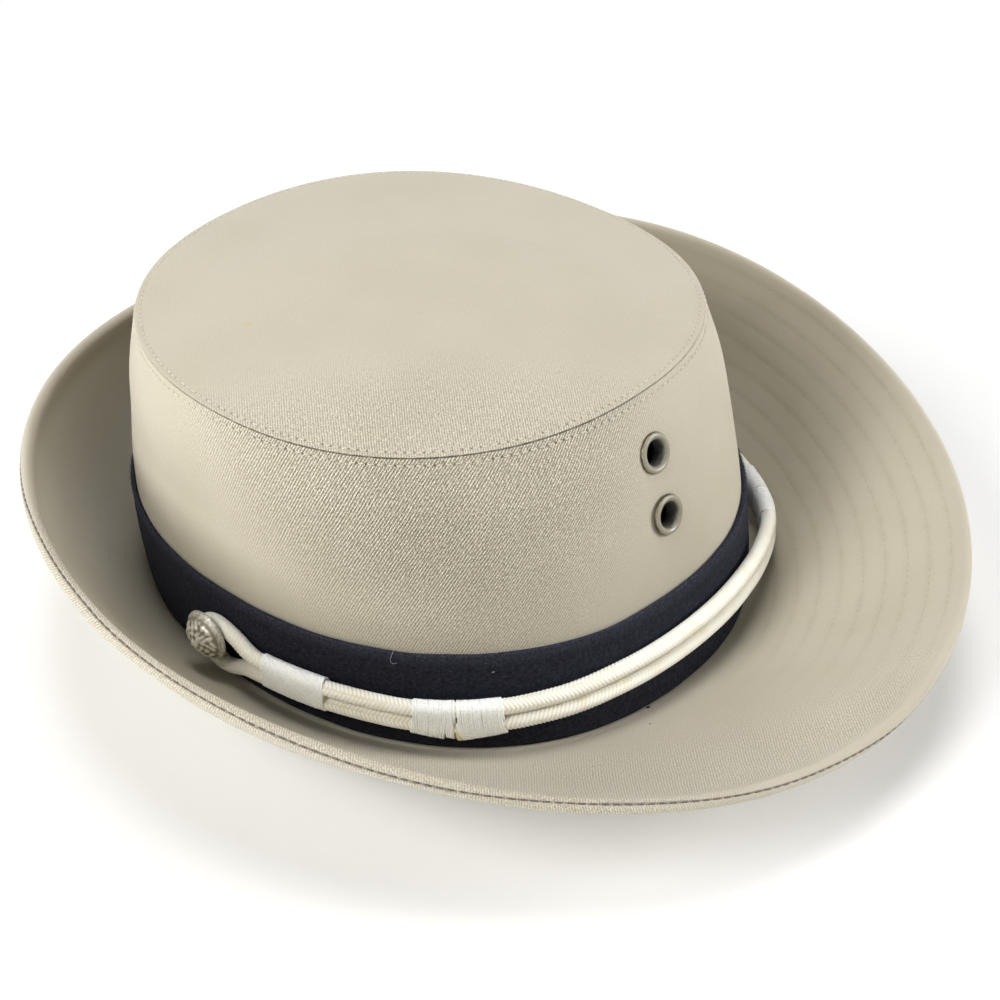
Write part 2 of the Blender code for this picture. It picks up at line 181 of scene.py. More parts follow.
# The cloth thickens to the roll over this distance
HEM = 0.0070

# How far the cloth lies low or stands proud: along seams and rows, round an eyelet, beside the band, at the
# wall's soft shoulder, and in its own unevenness
SEAM_DIP = 0.00020
ROW_DIP = 0.00010
BACK_SEAM_DIP = 0.00035
BRIM_ROW_DIP = 0.00011
RIM_GROOVE = 0.00040
EYELET_DIMPLE = 0.0002
FOOT_SWELL = 0.00009
FOOT_GROOVE = 0.00008
SHOULDER = 0.0007
WALL_UNEVEN = 0.0008
TIP_UNEVEN = 0.0004

# Columns of points round the hat in the meshes of the crown, the brim and the band, and their angles
COLUMNS = 480
COLUMN_ANGLES = np.linspace(-math.pi, math.pi, COLUMNS, endpoint=False)

# The wearer's left side of the cord hangs a little slack: the angle, how far round, out and down it reaches
SLACK = {"angle": 41.0, "reach": 15.0, "out": 0.0027, "down": 0.0014}

# Marks of wear: a stain on the tip (a place on its map and its size), a thread caught on the band's top edge
# (its angle, and its course in millimetres along the edge and up from it) and crumbs of felt and dust
STAIN = {"place": (-0.0534, 0.0302, 0.0), "size": 0.0026}
CAUGHT_THREAD = {"angle": -53.7, "along": (0.4, -0.2, -0.7, -0.7, 0.0, 0.9),
                 "up": (1.0, -0.5, -1.9, -2.9, -3.7, -3.1)}
CRUMBS = (
    {"where": "band", "angle": -37.6, "distance": 0.0326, "size": 0.00020, "cloth": "lint"},
    {"where": "brim", "angle": -10.5, "distance": 0.0022, "size": 0.00034, "cloth": "felt"},
    {"where": "brim", "angle": -13.6, "distance": 0.0100, "size": 0.00014, "cloth": "felt"},
)

# Camera, worked out from the photograph: where it looks, where it stands round that point, and its
# focal length in widths of the picture
CAMERA_TARGET = Vector((0.02567, 0.01944, 0.00974))
CAMERA_AZIMUTH = -48.387
CAMERA_ELEVATION = 35.893
CAMERA_ROLL = 0.232
CAMERA_DISTANCE = 0.650
CAMERA_FOCAL = 1.8785

# Lamps: where each stands seen from the camera (to its right, nearer and up), and its power
LAMPS = {
    "top": (0.0, 0.01, 1.0, 10.0),
    "left_low": (-1.0, 0.0, 0.3, 6.7),
    "near_left": (-0.7, 0.7, 0.9, 11.0),
    "near_left_low": (-0.7, 0.7, 0.3, 15.2),
    "right": (1.0, 0.0, 0.9, 2.4),
    "right_low": (1.0, 0.0, 0.3, 19.6),
    "far": (0.0, -1.0, 0.9, 2.5),
    "far_low": (0.0, -1.0, 0.3, 6.1),
}
LAMP_DISTANCE = 1.6
LAMP_SIZE = 0.7
LAMP_TARGET = Vector((0.0, 0.02, 0.05))
FLOOR_HALF = 6.0
BACKDROP_RADIUS = 5.9
BACKDROP_EDGES = (-0.1, 4.0)
WORLD_STRENGTH = 0.003

random = np.random.default_rng(7)


# Shape of the hat

def oval(angle, half_length, half_width):
    """Plan points of a superellipse; angle 0 is the front, at -Y."""
    side = np.sin(angle)
    back = -np.cos(angle)
    reach = (np.abs(side / half_width) ** OVAL_POWER + np.abs(back / half_length) ** OVAL_POWER)
    reach = reach ** (-1 / OVAL_POWER)
    return np.stack([reach * side, reach * back], -1)


def wall_row(angle, share):
    """Plan points of the crown's wall before its bulge, at a share of the height."""
    base = oval(angle, BASE_HALF_LENGTH, BASE_HALF_WIDTH)
    tip = oval(angle, TIP_HALF_LENGTH, TIP_HALF_WIDTH) + np.array([0.0, TIP_SET_BACK])
    return base + (tip - base) * np.asarray(share)[..., None]


def outward(angle, share):
    """The level direction out of the crown's wall, in plan."""
    step = 0.001
    along = wall_row(angle + step, share) - wall_row(angle - step, share)
    out = np.stack([along[..., 1], -along[..., 0]], -1)
    return out / np.linalg.norm(out, axis=-1, keepdims=True)


def level(plan):
    """Plan directions as directions in space."""
    return np.concatenate([plan, np.zeros_like(plan[..., :1])], -1)


def out_of_hat(angle):
    """The level direction out of the crown's foot, in space."""
    return level(outward(angle, np.zeros_like(angle)))


def seam_height(angle):
    return CROWN_HEIGHT + TIP_SADDLE * np.cos(2 * angle)


def wall_point(angle, height, out=0.0):
    """Points on the outer face of the crown, or standing off it by out."""
    angle, height, out = np.broadcast_arrays(np.asarray(angle, float), height, out)
    share = height / seam_height(angle)
    bulge = 4 * WALL_BULGE * share * (1 - share)
    plan = wall_row(angle, share) + outward(angle, share) * (bulge + out)[..., None]
    return np.concatenate([plan, height[..., None]], -1)


def wall_axis(angle, height):
    """The direction square to the crown's wall."""
    step = 0.001
    up = wall_point(angle, height + step) - wall_point(angle, height - step)
    around = wall_point(angle + step, height) - wall_point(angle - step, height)
    return unit(np.cross(around, up))


def band_point(angle, height, out=0.0):
    return wall_point(angle, height, GAP + BAND_FELT + out)


def round_the_hat(column, angle):
    """An even curve through a column of BRIM_SECTIONS, smooth at the front and the back."""
    values = np.array(BRIM_SECTIONS[column])
    last = len(values) - 1
    shares = np.array([0.5] + [1.0] * (last - 1) + [0.5])
    total = 0.0
    for wave, share in enumerate(shares):
        weight = (shares * values * np.cos(math.pi * np.arange(last + 1) * wave / last)).sum()
        total = total + share * weight * np.cos(wave * angle)
    return total * 2 / last


def brim_width(angle):
    return BRIM_WIDTH * round_the_hat("width", angle)


def brim_line(angle, share):
    """The brim's upper face at shares of its width: how far out, how far up, and the slope."""
    steps = 160
    angle, share = np.broadcast_arrays(np.asarray(angle, float), share)
    shape = angle.shape
    angle, share = angle.ravel(), np.clip(share.ravel(), 0.0, 1.0)
    start = np.radians(round_the_hat("start_slope", angle))
    rim = np.radians(round_the_hat("rim_slope", angle))
    place = share * steps
    index = np.minimum(place.astype(int), steps - 1)
    column = np.arange(len(angle))
    slopes = start + (rim - start) * ((np.arange(steps) + 0.5) / steps)[:, None] ** BRIM_CURL
    width = brim_width(angle) / steps
    reach = []
    for part in (np.cos(slopes), np.sin(slopes)):
        total = np.vstack([np.zeros_like(width), np.cumsum(part * width, 0)])
        reach.append((total[index, column] + (place - index) * part[index, column] * width).reshape(shape))
    slope = start + (rim - start) * share ** BRIM_CURL
    return reach[0], reach[1], slope.reshape(shape)


def rim_reach(angle):
    """How far along Y the outside of the rim lies at the front or the back."""
    out, up, slope = brim_line(angle, 1.0)
    core = out + np.sin(slope) * BRIM_CLOTH / 2
    return wall_point(angle, BRIM_SEAT, GAP)[1] + outward(angle, 0.0)[1] * (core + RIM_ROLL / 2)


# Small helpers

def unit(vectors):
    return vectors / np.linalg.norm(vectors, axis=-1, keepdims=True)


def bell(value, middle, width):
    return np.exp(-(((value - middle) / width) ** 2))


def ease(value, low, high):
    """Rises smoothly from 0 at low to 1 at high."""
    share = np.clip((value - low) / (high - low), 0.0, 1.0)
    return share * share * (3 - 2 * share)


def length_along(points):
    """The length run along a line of points, up to each of them."""
    return np.concatenate([[0.0], np.cumsum(np.linalg.norm(np.diff(points, axis=0), axis=1))])


def soft_noise(rows, columns, reach):
    """Smooth random values of about -1 to 1 on a grid that closes on itself both ways."""
    waves = np.fft.fft2(random.standard_normal((rows, columns)))
    down = np.fft.fftfreq(rows)[:, None] * reach[0]
    across = np.fft.fftfreq(columns)[None] * reach[1]
    field = np.fft.ifft2(waves * np.exp(-5 * (down ** 2 + across ** 2))).real
    return field / (2 * field.std())


def closed(grid, rows=True):
    """A grid with its first column, and its first row too, repeated at its end."""
    if rows:
        grid = np.concatenate([grid, grid[:1]])
    return np.concatenate([grid, grid[:, :1]], 1)


# Every shape is worked out round the crown's own middle, and set back by this much in the frame
HAT_SHIFT = np.array([0.0, -(rim_reach(0.0) + rim_reach(math.pi)) / 2, 0.0])


def build_mesh(name, points, faces, maps=(), shades=(), place=None):
    """A smooth mesh from points and faces; maps hold (u, v) per corner, shades a value per point."""
    points = np.asarray(points, float).reshape(-1, 3)
    if place is not None:
        matrix = np.array(place)
        points = points @ matrix[:3, :3].T + matrix[:3, 3]
    mesh = bpy.data.meshes.new(name)
    mesh.vertices.add(len(points))
    mesh.vertices.foreach_set("co", (points + HAT_SHIFT).astype(np.float32).ravel())
    sizes = np.concatenate([np.full(len(rows), rows.shape[1]) for rows in faces])
    corners = np.concatenate([rows.ravel() for rows in faces])
    mesh.loops.add(len(corners))
    mesh.loops.foreach_set("vertex_index", corners.astype(np.int32))
    mesh.polygons.add(len(sizes))
    starts = np.concatenate([[0], np.cumsum(sizes)[:-1]])
    mesh.polygons.foreach_set("loop_start", starts.astype(np.int32))
    mesh.polygons.foreach_set("use_smooth", np.ones(len(sizes), bool))
    mesh.update(calc_edges=True)
    for label, values in maps:
        layer = mesh.uv_layers.new(name=label)
        layer.uv.foreach_set("vector", np.asarray(values, np.float32).ravel())
    for label, values in shades:
        layer = mesh.attributes.new(label, "FLOAT", "POINT")
        layer.data.foreach_set("value", np.asarray(values, np.float32).ravel())
    mesh.validate()
    return mesh


def sheet_mesh(name, points, maps=(), shades=(), closed_rows=False, caps=False, place=None):
    """A mesh through a grid whose columns close; a map has a column more, and a row more if rows close."""
    rows, columns = points.shape[:2]
    low, left = np.meshgrid(np.arange(rows if closed_rows else rows - 1), np.arange(columns), indexing="ij")
    places = ((low, left), (low, left + 1), (low + 1, left + 1), (low + 1, left))
    down = np.stack([place_down for place_down, place_across in places], -1).reshape(-1, 4)
    across = np.stack([place_across for place_down, place_across in places], -1).reshape(-1, 4)
    faces = [(down % rows) * columns + across % columns]
    ends = []
    if caps:
        ring = np.arange(columns)
        faces += [ring[None, ::-1], ring[None] + (rows - 1) * columns]
        ends = [(0, ring[::-1]), (rows - 1, ring)]
    corner_maps = []
    for label, values in maps:
        corners = [values[down, across].reshape(-1, 2)] + [values[row, ring] for row, ring in ends]
        corner_maps.append((label, np.concatenate(corners)))
    return build_mesh(name, points, faces, corner_maps, shades, place)


def spokes_round(along, lifts, turn):
    """The directions round a line at each turn from its lift, with the line's own direction in along."""
    lifts = unit(lifts - along * (lifts * along).sum(-1, keepdims=True))
    aside = np.cross(along, lifts)
    return lifts[..., None, :] * np.cos(turn)[:, None] + aside[..., None, :] * np.sin(turn)[:, None]


def tubes_mesh(name, centres, lifts, radii, sides):
    """Many capped tubes at once: centres and lifts are (tubes, rings, 3), radii (tubes, rings)."""
    tubes, rings = centres.shape[:2]
    turn = math.tau * (np.arange(sides) + 0.5) / sides
    spokes = spokes_round(unit(np.gradient(centres, axis=1)), lifts, turn)
    points = centres[:, :, None] + spokes * np.asarray(radii)[..., None, None]
    first = (np.arange(tubes) * rings * sides)[:, None, None]
    low = first + np.arange(rings - 1)[None, :, None] * sides
    side = np.arange(sides)[None, None]
    following = (side + 1) % sides
    corners = np.stack([low + side, low + following, low + sides + following, low + sides + side], -1)
    start = first[:, 0] + np.arange(sides)[None, ::-1]
    end = first[:, 0] + (rings - 1) * sides + np.arange(sides)[None]
    return build_mesh(name, points, [corners.reshape(-1, 4), start, end])


def add_object(name, data):
    made = bpy.data.objects.new(name, data)
    bpy.context.scene.collection.objects.link(made)
    return made


def add_piece(mesh, material, slot, replaced=None):
    piece = add_object(mesh.name, mesh)
    mesh.materials.append(material)
    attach(piece, "root")
    if replaced:
        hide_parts(replaced)
    return piece


class StitchLine:
    """Even stitches round the hat along points_of(angle), and where each one lies."""

    def __init__(self, points_of, pitch):
        self.angles = np.linspace(-math.pi, math.pi, 1441)
        run = length_along(points_of(self.angles))
        self.count = round(run[-1] / pitch)
        self.turns = run / run[-1] * self.count

    def angle(self, turns):
        return np.interp(turns, self.turns, self.angles)

    def turn(self, angle):
        return np.interp(angle, self.angles, self.turns)

    def tubes(self, face, thread, keep=None):
        """Centres, lifts and radii of the stitches on face(angle, lift)."""
        starts = np.arange(self.count) + random.uniform(-0.03, 0.03, self.count)
        angle = self.angle(starts[:, None] + np.array([0.13, 0.27, 0.73, 0.87]))
        if keep is not None:
            angle = angle[keep(angle[:, 0])]
        centres = face(angle, np.array([-0.9, 0.35, 0.35, -0.9]) * thread)
        lifts = face(angle, np.full(4, thread)) - face(angle, np.zeros(4))
        radii = np.broadcast_to(np.array([0.55, 1.0, 1.0, 0.55]) * thread, angle.shape)
        return centres, lifts, radii


def add_stitches(name, rows, material, slot):
    parts = [np.concatenate(part) for part in zip(*rows)]
    add_piece(tubes_mesh(name, *parts, 4), material, slot)


# Materials

class Recipe:
    """One material, whose nodes are made and joined by short calls."""

    def __init__(self, name, colour, roughness, inputs=()):
        self.material = bpy.data.materials.new(name)
        self.material.use_nodes = True
        self.tree = self.material.node_tree
        self.shader = self.tree.nodes["Principled BSDF"]
        self.fill(self.shader, {"Base Color": colour, "Roughness": roughness, **dict(inputs)})
        self.space = self.node("TexCoord", output="Object")

    def fill(self, node, inputs):
        for key, value in inputs.items():
            socket = node.inputs[key]
            if isinstance(value, bpy.types.NodeSocket):
                self.tree.links.new(value, socket)
            else:
                socket.default_value = (*value, 1.0) if socket.type == "RGBA" else value

    def node(self, kind, inputs=(), output=0, **settings):
        """One of the outputs of a new node."""
        made = self.tree.nodes.new("ShaderNode" + kind)
        for key, value in settings.items():
            setattr(made, key, value)
        self.fill(made, dict(inputs))
        return made.outputs[output]

    def math(self, operation, *values):
        return self.node("Math", dict(enumerate(values)), operation=operation)

    def times(self, first, second):
        return self.math("MULTIPLY", first, second)

    def less(self, first, second):
        return self.math("SUBTRACT", first, second)

    def gain(self, value, factor, offset):
        return self.math("MULTIPLY_ADD", value, factor, offset)

    def vector(self, operation, first, second, output=0):
        return self.node("VectorMath", {0: first, 1: second}, output, operation=operation)

    def span(self, value, low, high, first=0.0, last=1.0):
        """Turns low to high into first to last, smoothly and with no overshoot."""
        inputs = {"Value": value, "From Min": low, "From Max": high, "To Min": first, "To Max": last}
        return self.node("MapRange", inputs, interpolation_type="SMOOTHSTEP")

    def flat_map(self, name):
        return self.node("UVMap", uv_map=name)

    def shade(self, name):
        return self.node("Attribute", output="Fac", attribute_name=name)

    def noise(self, where, scale, detail=2.0, output=0):
        return self.node("TexNoise", {"Vector": where, "Scale": scale, "Detail": detail}, output)

    def patchy(self, scale, low, high, first=0.0, last=1.0, detail=2.0):
        """Patches in space that run softly from first to last."""
        return self.span(self.noise(self.space, scale, detail), low, high, first, last)

    def along(self, where, direction, pitch):
        """How many pitches lie between the map's origin and a place, measured in a direction in degrees."""
        turn = math.radians(direction)
        measure = (math.cos(turn) / pitch, math.sin(turn) / pitch, 0.0)
        return self.vector("DOT_PRODUCT", where, measure, "Value")

    def crispness(self, low, high, least):
        """How fully a pattern shows, from least to 1, by how far a place lies in CRISP_DIRECTION."""
        place = self.vector("DOT_PRODUCT", self.space, CRISP_DIRECTION, "Value")
        return self.span(place, low, high, least, 1.0)

    def waves(self, phase):
        """0 to 1 and back once in each whole step of the phase."""
        return self.gain(self.math("COSINE", self.times(phase, math.tau)), 0.5, 0.5)

    def blend(self, share, first, second, kind="MIX"):
        return self.node("Mix", {0: share, 6: first, 7: second}, 2, data_type="RGBA", blend_type=kind)

    def bump(self, height, distance, strength):
        return self.node("Bump", {"Height": height, "Distance": distance, "Strength": strength})

    def finish(self, colour, normal=None, roughness=None, metallic=None):
        wanted = {"Base Color": colour, "Normal": normal, "Roughness": roughness, "Metallic": metallic}
        self.fill(self.shader, {key: value for key, value in wanted.items() if value is not None})
        return self.material


DRILL = np.array([0.485, 0.4425, 0.345])
# Half the difference in colour between the ribs' crests and grooves: painted light on the crests and painted
# shade in the grooves
DRILL_RIB_SHADE = np.array([0.155, 0.1475, 0.125])
# The ribs stand out in full on the cloth that lies furthest in this direction, and are worn soft elsewhere
CRISP_DIRECTION = (-0.606, -0.538, 0.586)
CRISP_FROM = 0.076
CRISP_TO = 0.105
CRISP_LEAST = 0.12
# The same for the brim and for the cord, whose plait is coarser
BRIM_CRISP_FROM = 0.062
BRIM_CRISP_TO = 0.099
PLAIT_CRISP_FROM = 0.058
PLAIT_CRISP_TO = 0.083


def rib_pattern(recipe, cloth, rib_direction, pitch, detail):
    """The height of diagonal ribs of doubled yarns, broken by the yarns that cross them."""
    rib_place = recipe.along(cloth, rib_direction + 90.0, pitch)
    if detail == "tip":
        cross_place = recipe.along(cloth, rib_direction, pitch * 1.6)
    else:
        cross_place = recipe.along(cloth, rib_direction + 150.0, pitch * 0.75)
    ribs = recipe.waves(rib_place)
    crossing = recipe.waves(cross_place)
    if detail == "tip":
        ribs = recipe.gain(recipe.less(ribs, 0.5), recipe.gain(crossing, 1.2, 0.1), 0.42)
    else:
        broken = 0.5 if detail == "rim" else 0.8
        ribs = recipe.times(ribs, recipe.gain(crossing, broken, 0.8 - broken / 2))
    yarn = recipe.node("CombineXYZ", {0: rib_place, 1: recipe.times(cross_place, 0.35)})
    return recipe.gain(recipe.less(recipe.noise(yarn, 1.7, 1.0), 0.5), 1.2, ribs)


def rows_and_seam_shade(recipe, colour):
    """Painted shade along the brim's rows of stitches, where the cloth is drawn in, a little darker than its
    cloth, and the dark line of painted shade in the groove of the rim's seam.
    """
    from_rim = recipe.shade("from_rim")
    place = recipe.times(recipe.less(from_rim, BRIM_FIRST_ROW), 1 / BRIM_ROW_PITCH)
    from_row = recipe.math("ABSOLUTE", recipe.less(place, recipe.math("ROUND", place)))
    row = recipe.times(recipe.span(from_row, 0.02, 0.30, 1.0, 0.0), recipe.patchy(190.0, 0.3, 0.65, 0.25))
    row = recipe.times(recipe.times(row, recipe.span(from_rim, 0.0015, 0.003)), recipe.shade("rows"))
    # Painted shade along the rows' dips
    colour = recipe.blend(row, colour, (0.93, 0.93, 0.915), "MULTIPLY")
    # Painted shade in the groove of the rim's seam
    seam = recipe.times(recipe.shade("rim_seam"), recipe.patchy(420.0, 0.3, 0.6, 0.35, 0.9))
    return recipe.blend(seam, colour, (0.13, 0.11, 0.10))


def seam_shade_marks(recipe, colour, relief, crisp, hole_shade_depth):
    """Painted shade in the needle holes along the tip's seam, which the bump sinks too, and in the seam's
    groove, its dark line.
    """
    seam_map = recipe.flat_map("seam")
    stitch, distance = (recipe.node("SeparateXYZ", {0: seam_map}, part) for part in (0, 1))
    from_middle = recipe.math("ABSOLUTE", recipe.less(recipe.math("FRACT", stitch), 0.5))
    from_hole = recipe.times(recipe.less(0.5, from_middle), SEAM_STITCH)
    from_row = recipe.less(distance, SEAM_ROW)
    reach = recipe.math("SQRT", recipe.gain(from_hole, from_hole, recipe.times(from_row, from_row)))
    shown = recipe.math("MAXIMUM", crisp, 0.3)
    hole_shade = recipe.times(recipe.span(reach, 0.00020, 0.00058, hole_shade_depth, 0.0), shown)
    hole_shade = recipe.times(hole_shade, recipe.patchy(330.0, 0.35, 0.6, 0.45))
    # Painted shade in the needle holes
    colour = recipe.blend(hole_shade, colour, (0.13, 0.11, 0.075))
    # Painted shade in the seam's groove, a thin dark line
    seam = recipe.times(recipe.span(distance, 0.00006, 0.00026, 1.0, 0.0), shown)
    seam = recipe.times(seam, recipe.patchy(500.0, 0.3, 0.6, 0.45))
    colour = recipe.blend(seam, colour, (0.15, 0.13, 0.09))
    return colour, recipe.gain(hole_shade, -1.0, relief)


def drill_material(name, rib_direction, pitch, contrast, grain, detail):
    """Khaki cotton drill; detail says whether the cloth is the crown's side, its tip or the brim's rim."""
    recipe = Recipe(name, DRILL, 0.92, {"Sheen Weight": 0.15, "Sheen Roughness": 0.6})
    if detail == "rim":
        crisp = recipe.crispness(BRIM_CRISP_FROM, BRIM_CRISP_TO, CRISP_LEAST)
        crisp = recipe.times(crisp, recipe.shade("rib_show"))
    else:
        crisp = recipe.crispness(CRISP_FROM, CRISP_TO, CRISP_LEAST)
    cloth = recipe.flat_map("cloth")
    drift = recipe.vector("SUBTRACT", recipe.noise(cloth, 55.0, 1.0, "Color"), (0.5, 0.5, 0.5))
    cloth = recipe.vector("ADD", cloth, recipe.vector("MULTIPLY", drift, (0.0011, 0.0011, 0.0)))
    ribs = rib_pattern(recipe, cloth, rib_direction, pitch, detail)
    relief = recipe.times(recipe.gain(recipe.noise(cloth, 5200.0, 1.0), 0.25, ribs), crisp)
    # The ribs' grooves are painted darker and their crests lighter: painted shade and painted light of the
    # twill's relief
    relief_shade = recipe.gain(recipe.less(recipe.span(ribs, 0.0, 0.85), 0.5), crisp, 0.5)
    colour = recipe.blend(relief_shade, DRILL - DRILL_RIB_SHADE * contrast, DRILL + DRILL_RIB_SHADE * contrast)
    specks = recipe.gain(recipe.span(recipe.noise(cloth, 1700.0), 0.3, 0.7, -grain, grain), crisp, 1.0)
    colour = recipe.node("VectorMath", {0: colour, "Scale": specks}, operation="SCALE")
    colour = recipe.blend(recipe.patchy(32.0, 0.35, 0.7, detail=3.0), colour, (0.95, 0.95, 0.93), "MULTIPLY")
    if detail == "rim":
        colour = rows_and_seam_shade(recipe, colour)
    else:
        if detail == "tip":
            reach = recipe.vector("DISTANCE", recipe.flat_map("cloth"), STAIN["place"], "Value")
            stain = recipe.span(reach, 0.0, STAIN["size"], 0.8, 0.0)
            colour = recipe.blend(stain, colour, (1.0, 0.92, 0.72), "MULTIPLY")
        colour, relief = seam_shade_marks(recipe, colour, relief, crisp, 1.0 if detail == "side" else 0.85)
    return recipe.finish(colour, recipe.bump(relief, 0.00020 * contrast, 0.8))


def felt_material():
    recipe = Recipe("navy_felt", (0.014, 0.015, 0.024), 1.0,
                    {"Specular IOR Level": 0.25, "Sheen Weight": 0.05, "Sheen Roughness": 0.45,
                     "Sheen Tint": (0.45, 0.50, 0.75)})
    pile = recipe.gain(recipe.noise(recipe.space, 2600.0), 0.5, recipe.noise(recipe.space, 900.0, 4.0))
    colour = recipe.blend(recipe.span(pile, 0.55, 1.0), (0.0065, 0.007, 0.0115), (0.0185, 0.020, 0.034))
    height = recipe.node("SeparateXYZ", {0: recipe.space}, 2)
    # A lighter band just below the top edge: painted highlight where the fuzz catches the light
    edge = recipe.span(height, BAND_TOP - 0.0048, BAND_TOP - 0.0012, 0.0, 0.8)
    edge = recipe.times(edge, recipe.patchy(1300.0, 0.35, 0.65, 0.3))
    colour = recipe.blend(edge, colour, (0.036, 0.038, 0.056))
    return recipe.finish(colour, recipe.bump(pile, 0.0005, 0.9))


def fibre_material():
    recipe = Recipe("felt_fibres", (0.05, 0.055, 0.085), 1.0)
    tones = recipe.patchy(1500.0, 0.35, 0.65, detail=1.0)
    return recipe.finish(recipe.blend(tones, (0.025, 0.027, 0.042), (0.11, 0.115, 0.16)))


def braid_material():
    recipe = Recipe("cream_braid", (0.80, 0.76, 0.62), 0.7, {"Sheen Weight": 0.25})
    # The plait's furrows are painted a deeper yellow and its crests near white: painted shade and painted
    # light
    relief_shade = recipe.less(recipe.span(recipe.shade("crest"), 0.1, 0.75), 0.5)
    relief_shade = recipe.gain(relief_shade, recipe.crispness(PLAIT_CRISP_FROM, PLAIT_CRISP_TO, 0.3), 0.5)
    colour = recipe.blend(relief_shade, (0.80, 0.755, 0.60), (1.0, 0.985, 0.92))
    colour = recipe.blend(recipe.patchy(180.0, 0.4, 0.75), colour, (0.96, 0.94, 0.86), "MULTIPLY")
    return recipe.finish(colour, recipe.bump(recipe.noise(recipe.space, 4000.0), 0.0001, 0.6))


def thread_material():
    recipe = Recipe("white_thread", (0.95, 0.945, 0.92), 0.5, {"Sheen Weight": 0.4})
    flecks = recipe.noise(recipe.space, 1500.0)
    colour = recipe.blend(recipe.span(flecks, 0.32, 0.46), (0.86, 0.845, 0.80), (1.0, 1.0, 0.98))
    colour = recipe.blend(recipe.patchy(220.0, 0.45, 0.8), colour, (0.99, 0.985, 0.97), "MULTIPLY")
    return recipe.finish(colour, recipe.bump(flecks, 0.00005, 0.6))


def stitch_material(name, dark, light):
    recipe = Recipe(name, light, 0.7)
    twist = recipe.noise(recipe.space, 3500.0, 1.0)
    colour = recipe.blend(recipe.span(twist, 0.3, 0.7), dark, light)
    return recipe.finish(colour, recipe.bump(twist, 0.00006, 0.6))


def silver_material():
    recipe = Recipe("old_silver", (0.80, 0.77, 0.68), 0.45, {"Metallic": 0.55})
    stains = recipe.noise(recipe.space, 900.0, 4.0)
    wear = recipe.gain(recipe.less(stains, 0.5), 0.9, recipe.shade("crest"))
    colour = recipe.blend(recipe.span(wear, 0.05, 0.95), (0.32, 0.285, 0.215), (0.96, 0.94, 0.865))
    return recipe.finish(colour, recipe.bump(stains, 0.00014, 0.7), recipe.span(wear, 0.1, 0.8, 0.62, 0.42))


def enamel_material():
    recipe = Recipe("khaki_enamel", (0.33, 0.305, 0.24), 0.33)
    # The ring turns dark brown and metallic towards its outer and inner edges
    worn = recipe.gain(recipe.noise(recipe.space, 900.0, 3.0), 0.9, recipe.shade("wear"))
    bare = recipe.span(worn, 0.95, 1.15)
    colour = recipe.blend(bare, (0.262, 0.245, 0.178), (0.11, 0.085, 0.05))
    roughness = recipe.span(worn, 0.5, 1.2, 0.30, 0.45)
    return recipe.finish(colour, roughness=roughness, metallic=recipe.times(bare, 0.8))


def barrel_material():
    recipe = Recipe("shaded_eyelet_barrel", (0.50, 0.50, 0.48), 0.42, {"Metallic": 0.35})
    streaks = recipe.noise(recipe.space, 1200.0)
    # The tube's metal is painted dark: partly its own colour, partly painted shade inside the bore
    colour = recipe.blend(recipe.span(streaks, 0.35, 0.7), (0.22, 0.22, 0.205), (0.13, 0.125, 0.115))
    return recipe.finish(colour, recipe.bump(streaks, 0.00005, 0.5))


def floor_material():
    recipe = Recipe("pale_glowing_floor", (0.90, 0.90, 0.90), 0.9, {"Emission Color": (1.0, 1.0, 1.0)})
    # The lamps don't reach the far floor, which is bright in a real studio, so the floor glows more the
    # further it lies from the middle: painted light
    reach = recipe.node("VectorMath", {0: recipe.space}, "Value", operation="LENGTH")
    recipe.fill(recipe.shader, {"Emission Strength": recipe.span(reach, 1.1, 2.2)})
    grain = recipe.noise(recipe.space, 40.0)
    return recipe.finish(recipe.blend(grain, (0.895, 0.895, 0.895), (0.905, 0.905, 0.905)))


def backdrop_material():
    lit = {"Emission Color": (1.0, 1.0, 1.0), "Emission Strength": 1.0}
    return Recipe("pale_backdrop", (0.90, 0.90, 0.90), 0.9, lit).material


# Crown

# Distances from the seam where the cloth has a row of points on each side of it
SEAM_ROWS = np.array([0.0, 0.15, 0.3, 0.45, 0.65, 0.9, 1.2, 1.5, 1.75, 2.0, 2.3, 2.7, 3.2, 4.0, 5.0]) * MM
# Distances from the back seam where the side has an extra column of points
BACK_COLUMNS = np.array([0.3, 0.6, 1.0, 1.6]) * MM
# Shares of the way from the seam to the tip's middle where its rows end, and where its lower face begins
TIP_ROWS_REACH = 0.996
TIP_UNDER_EDGE = CROWN_CLOTH / 0.085


def seam_dips(distance):
    """The cloth beside the tip's seam: drawn down into the seam and along its row of stitches."""
    return -SEAM_DIP * bell(distance, 0.0, 0.00022) - ROW_DIP * bell(distance, SEAM_ROW, 0.00045)


def crown_lumps(angle, share):
    """The wall's slight unevenness, none under the band, and its soft shoulder below the seam."""
    free = ease(share, 0.44, 0.62) * (1 - ease(share, 0.90, 1.0))
    waves = 0.5 * np.sin(3 * angle + 0.8) + 0.35 * np.sin(5 * angle + 7 * share - 1.1)
    shoulder = SHOULDER * bell(share, 0.84, 0.11) * (1 + 0.4 * np.sin(4 * angle + 2.6))
    return WALL_UNEVEN * free * (waves + 0.25 * np.sin(8 * angle - 5 * share + 2.0)) + shoulder


def eyelet_heights():
    upper = float(seam_height(0.0)) - EYELET_DROP
    return upper, upper - EYELET_SPACING


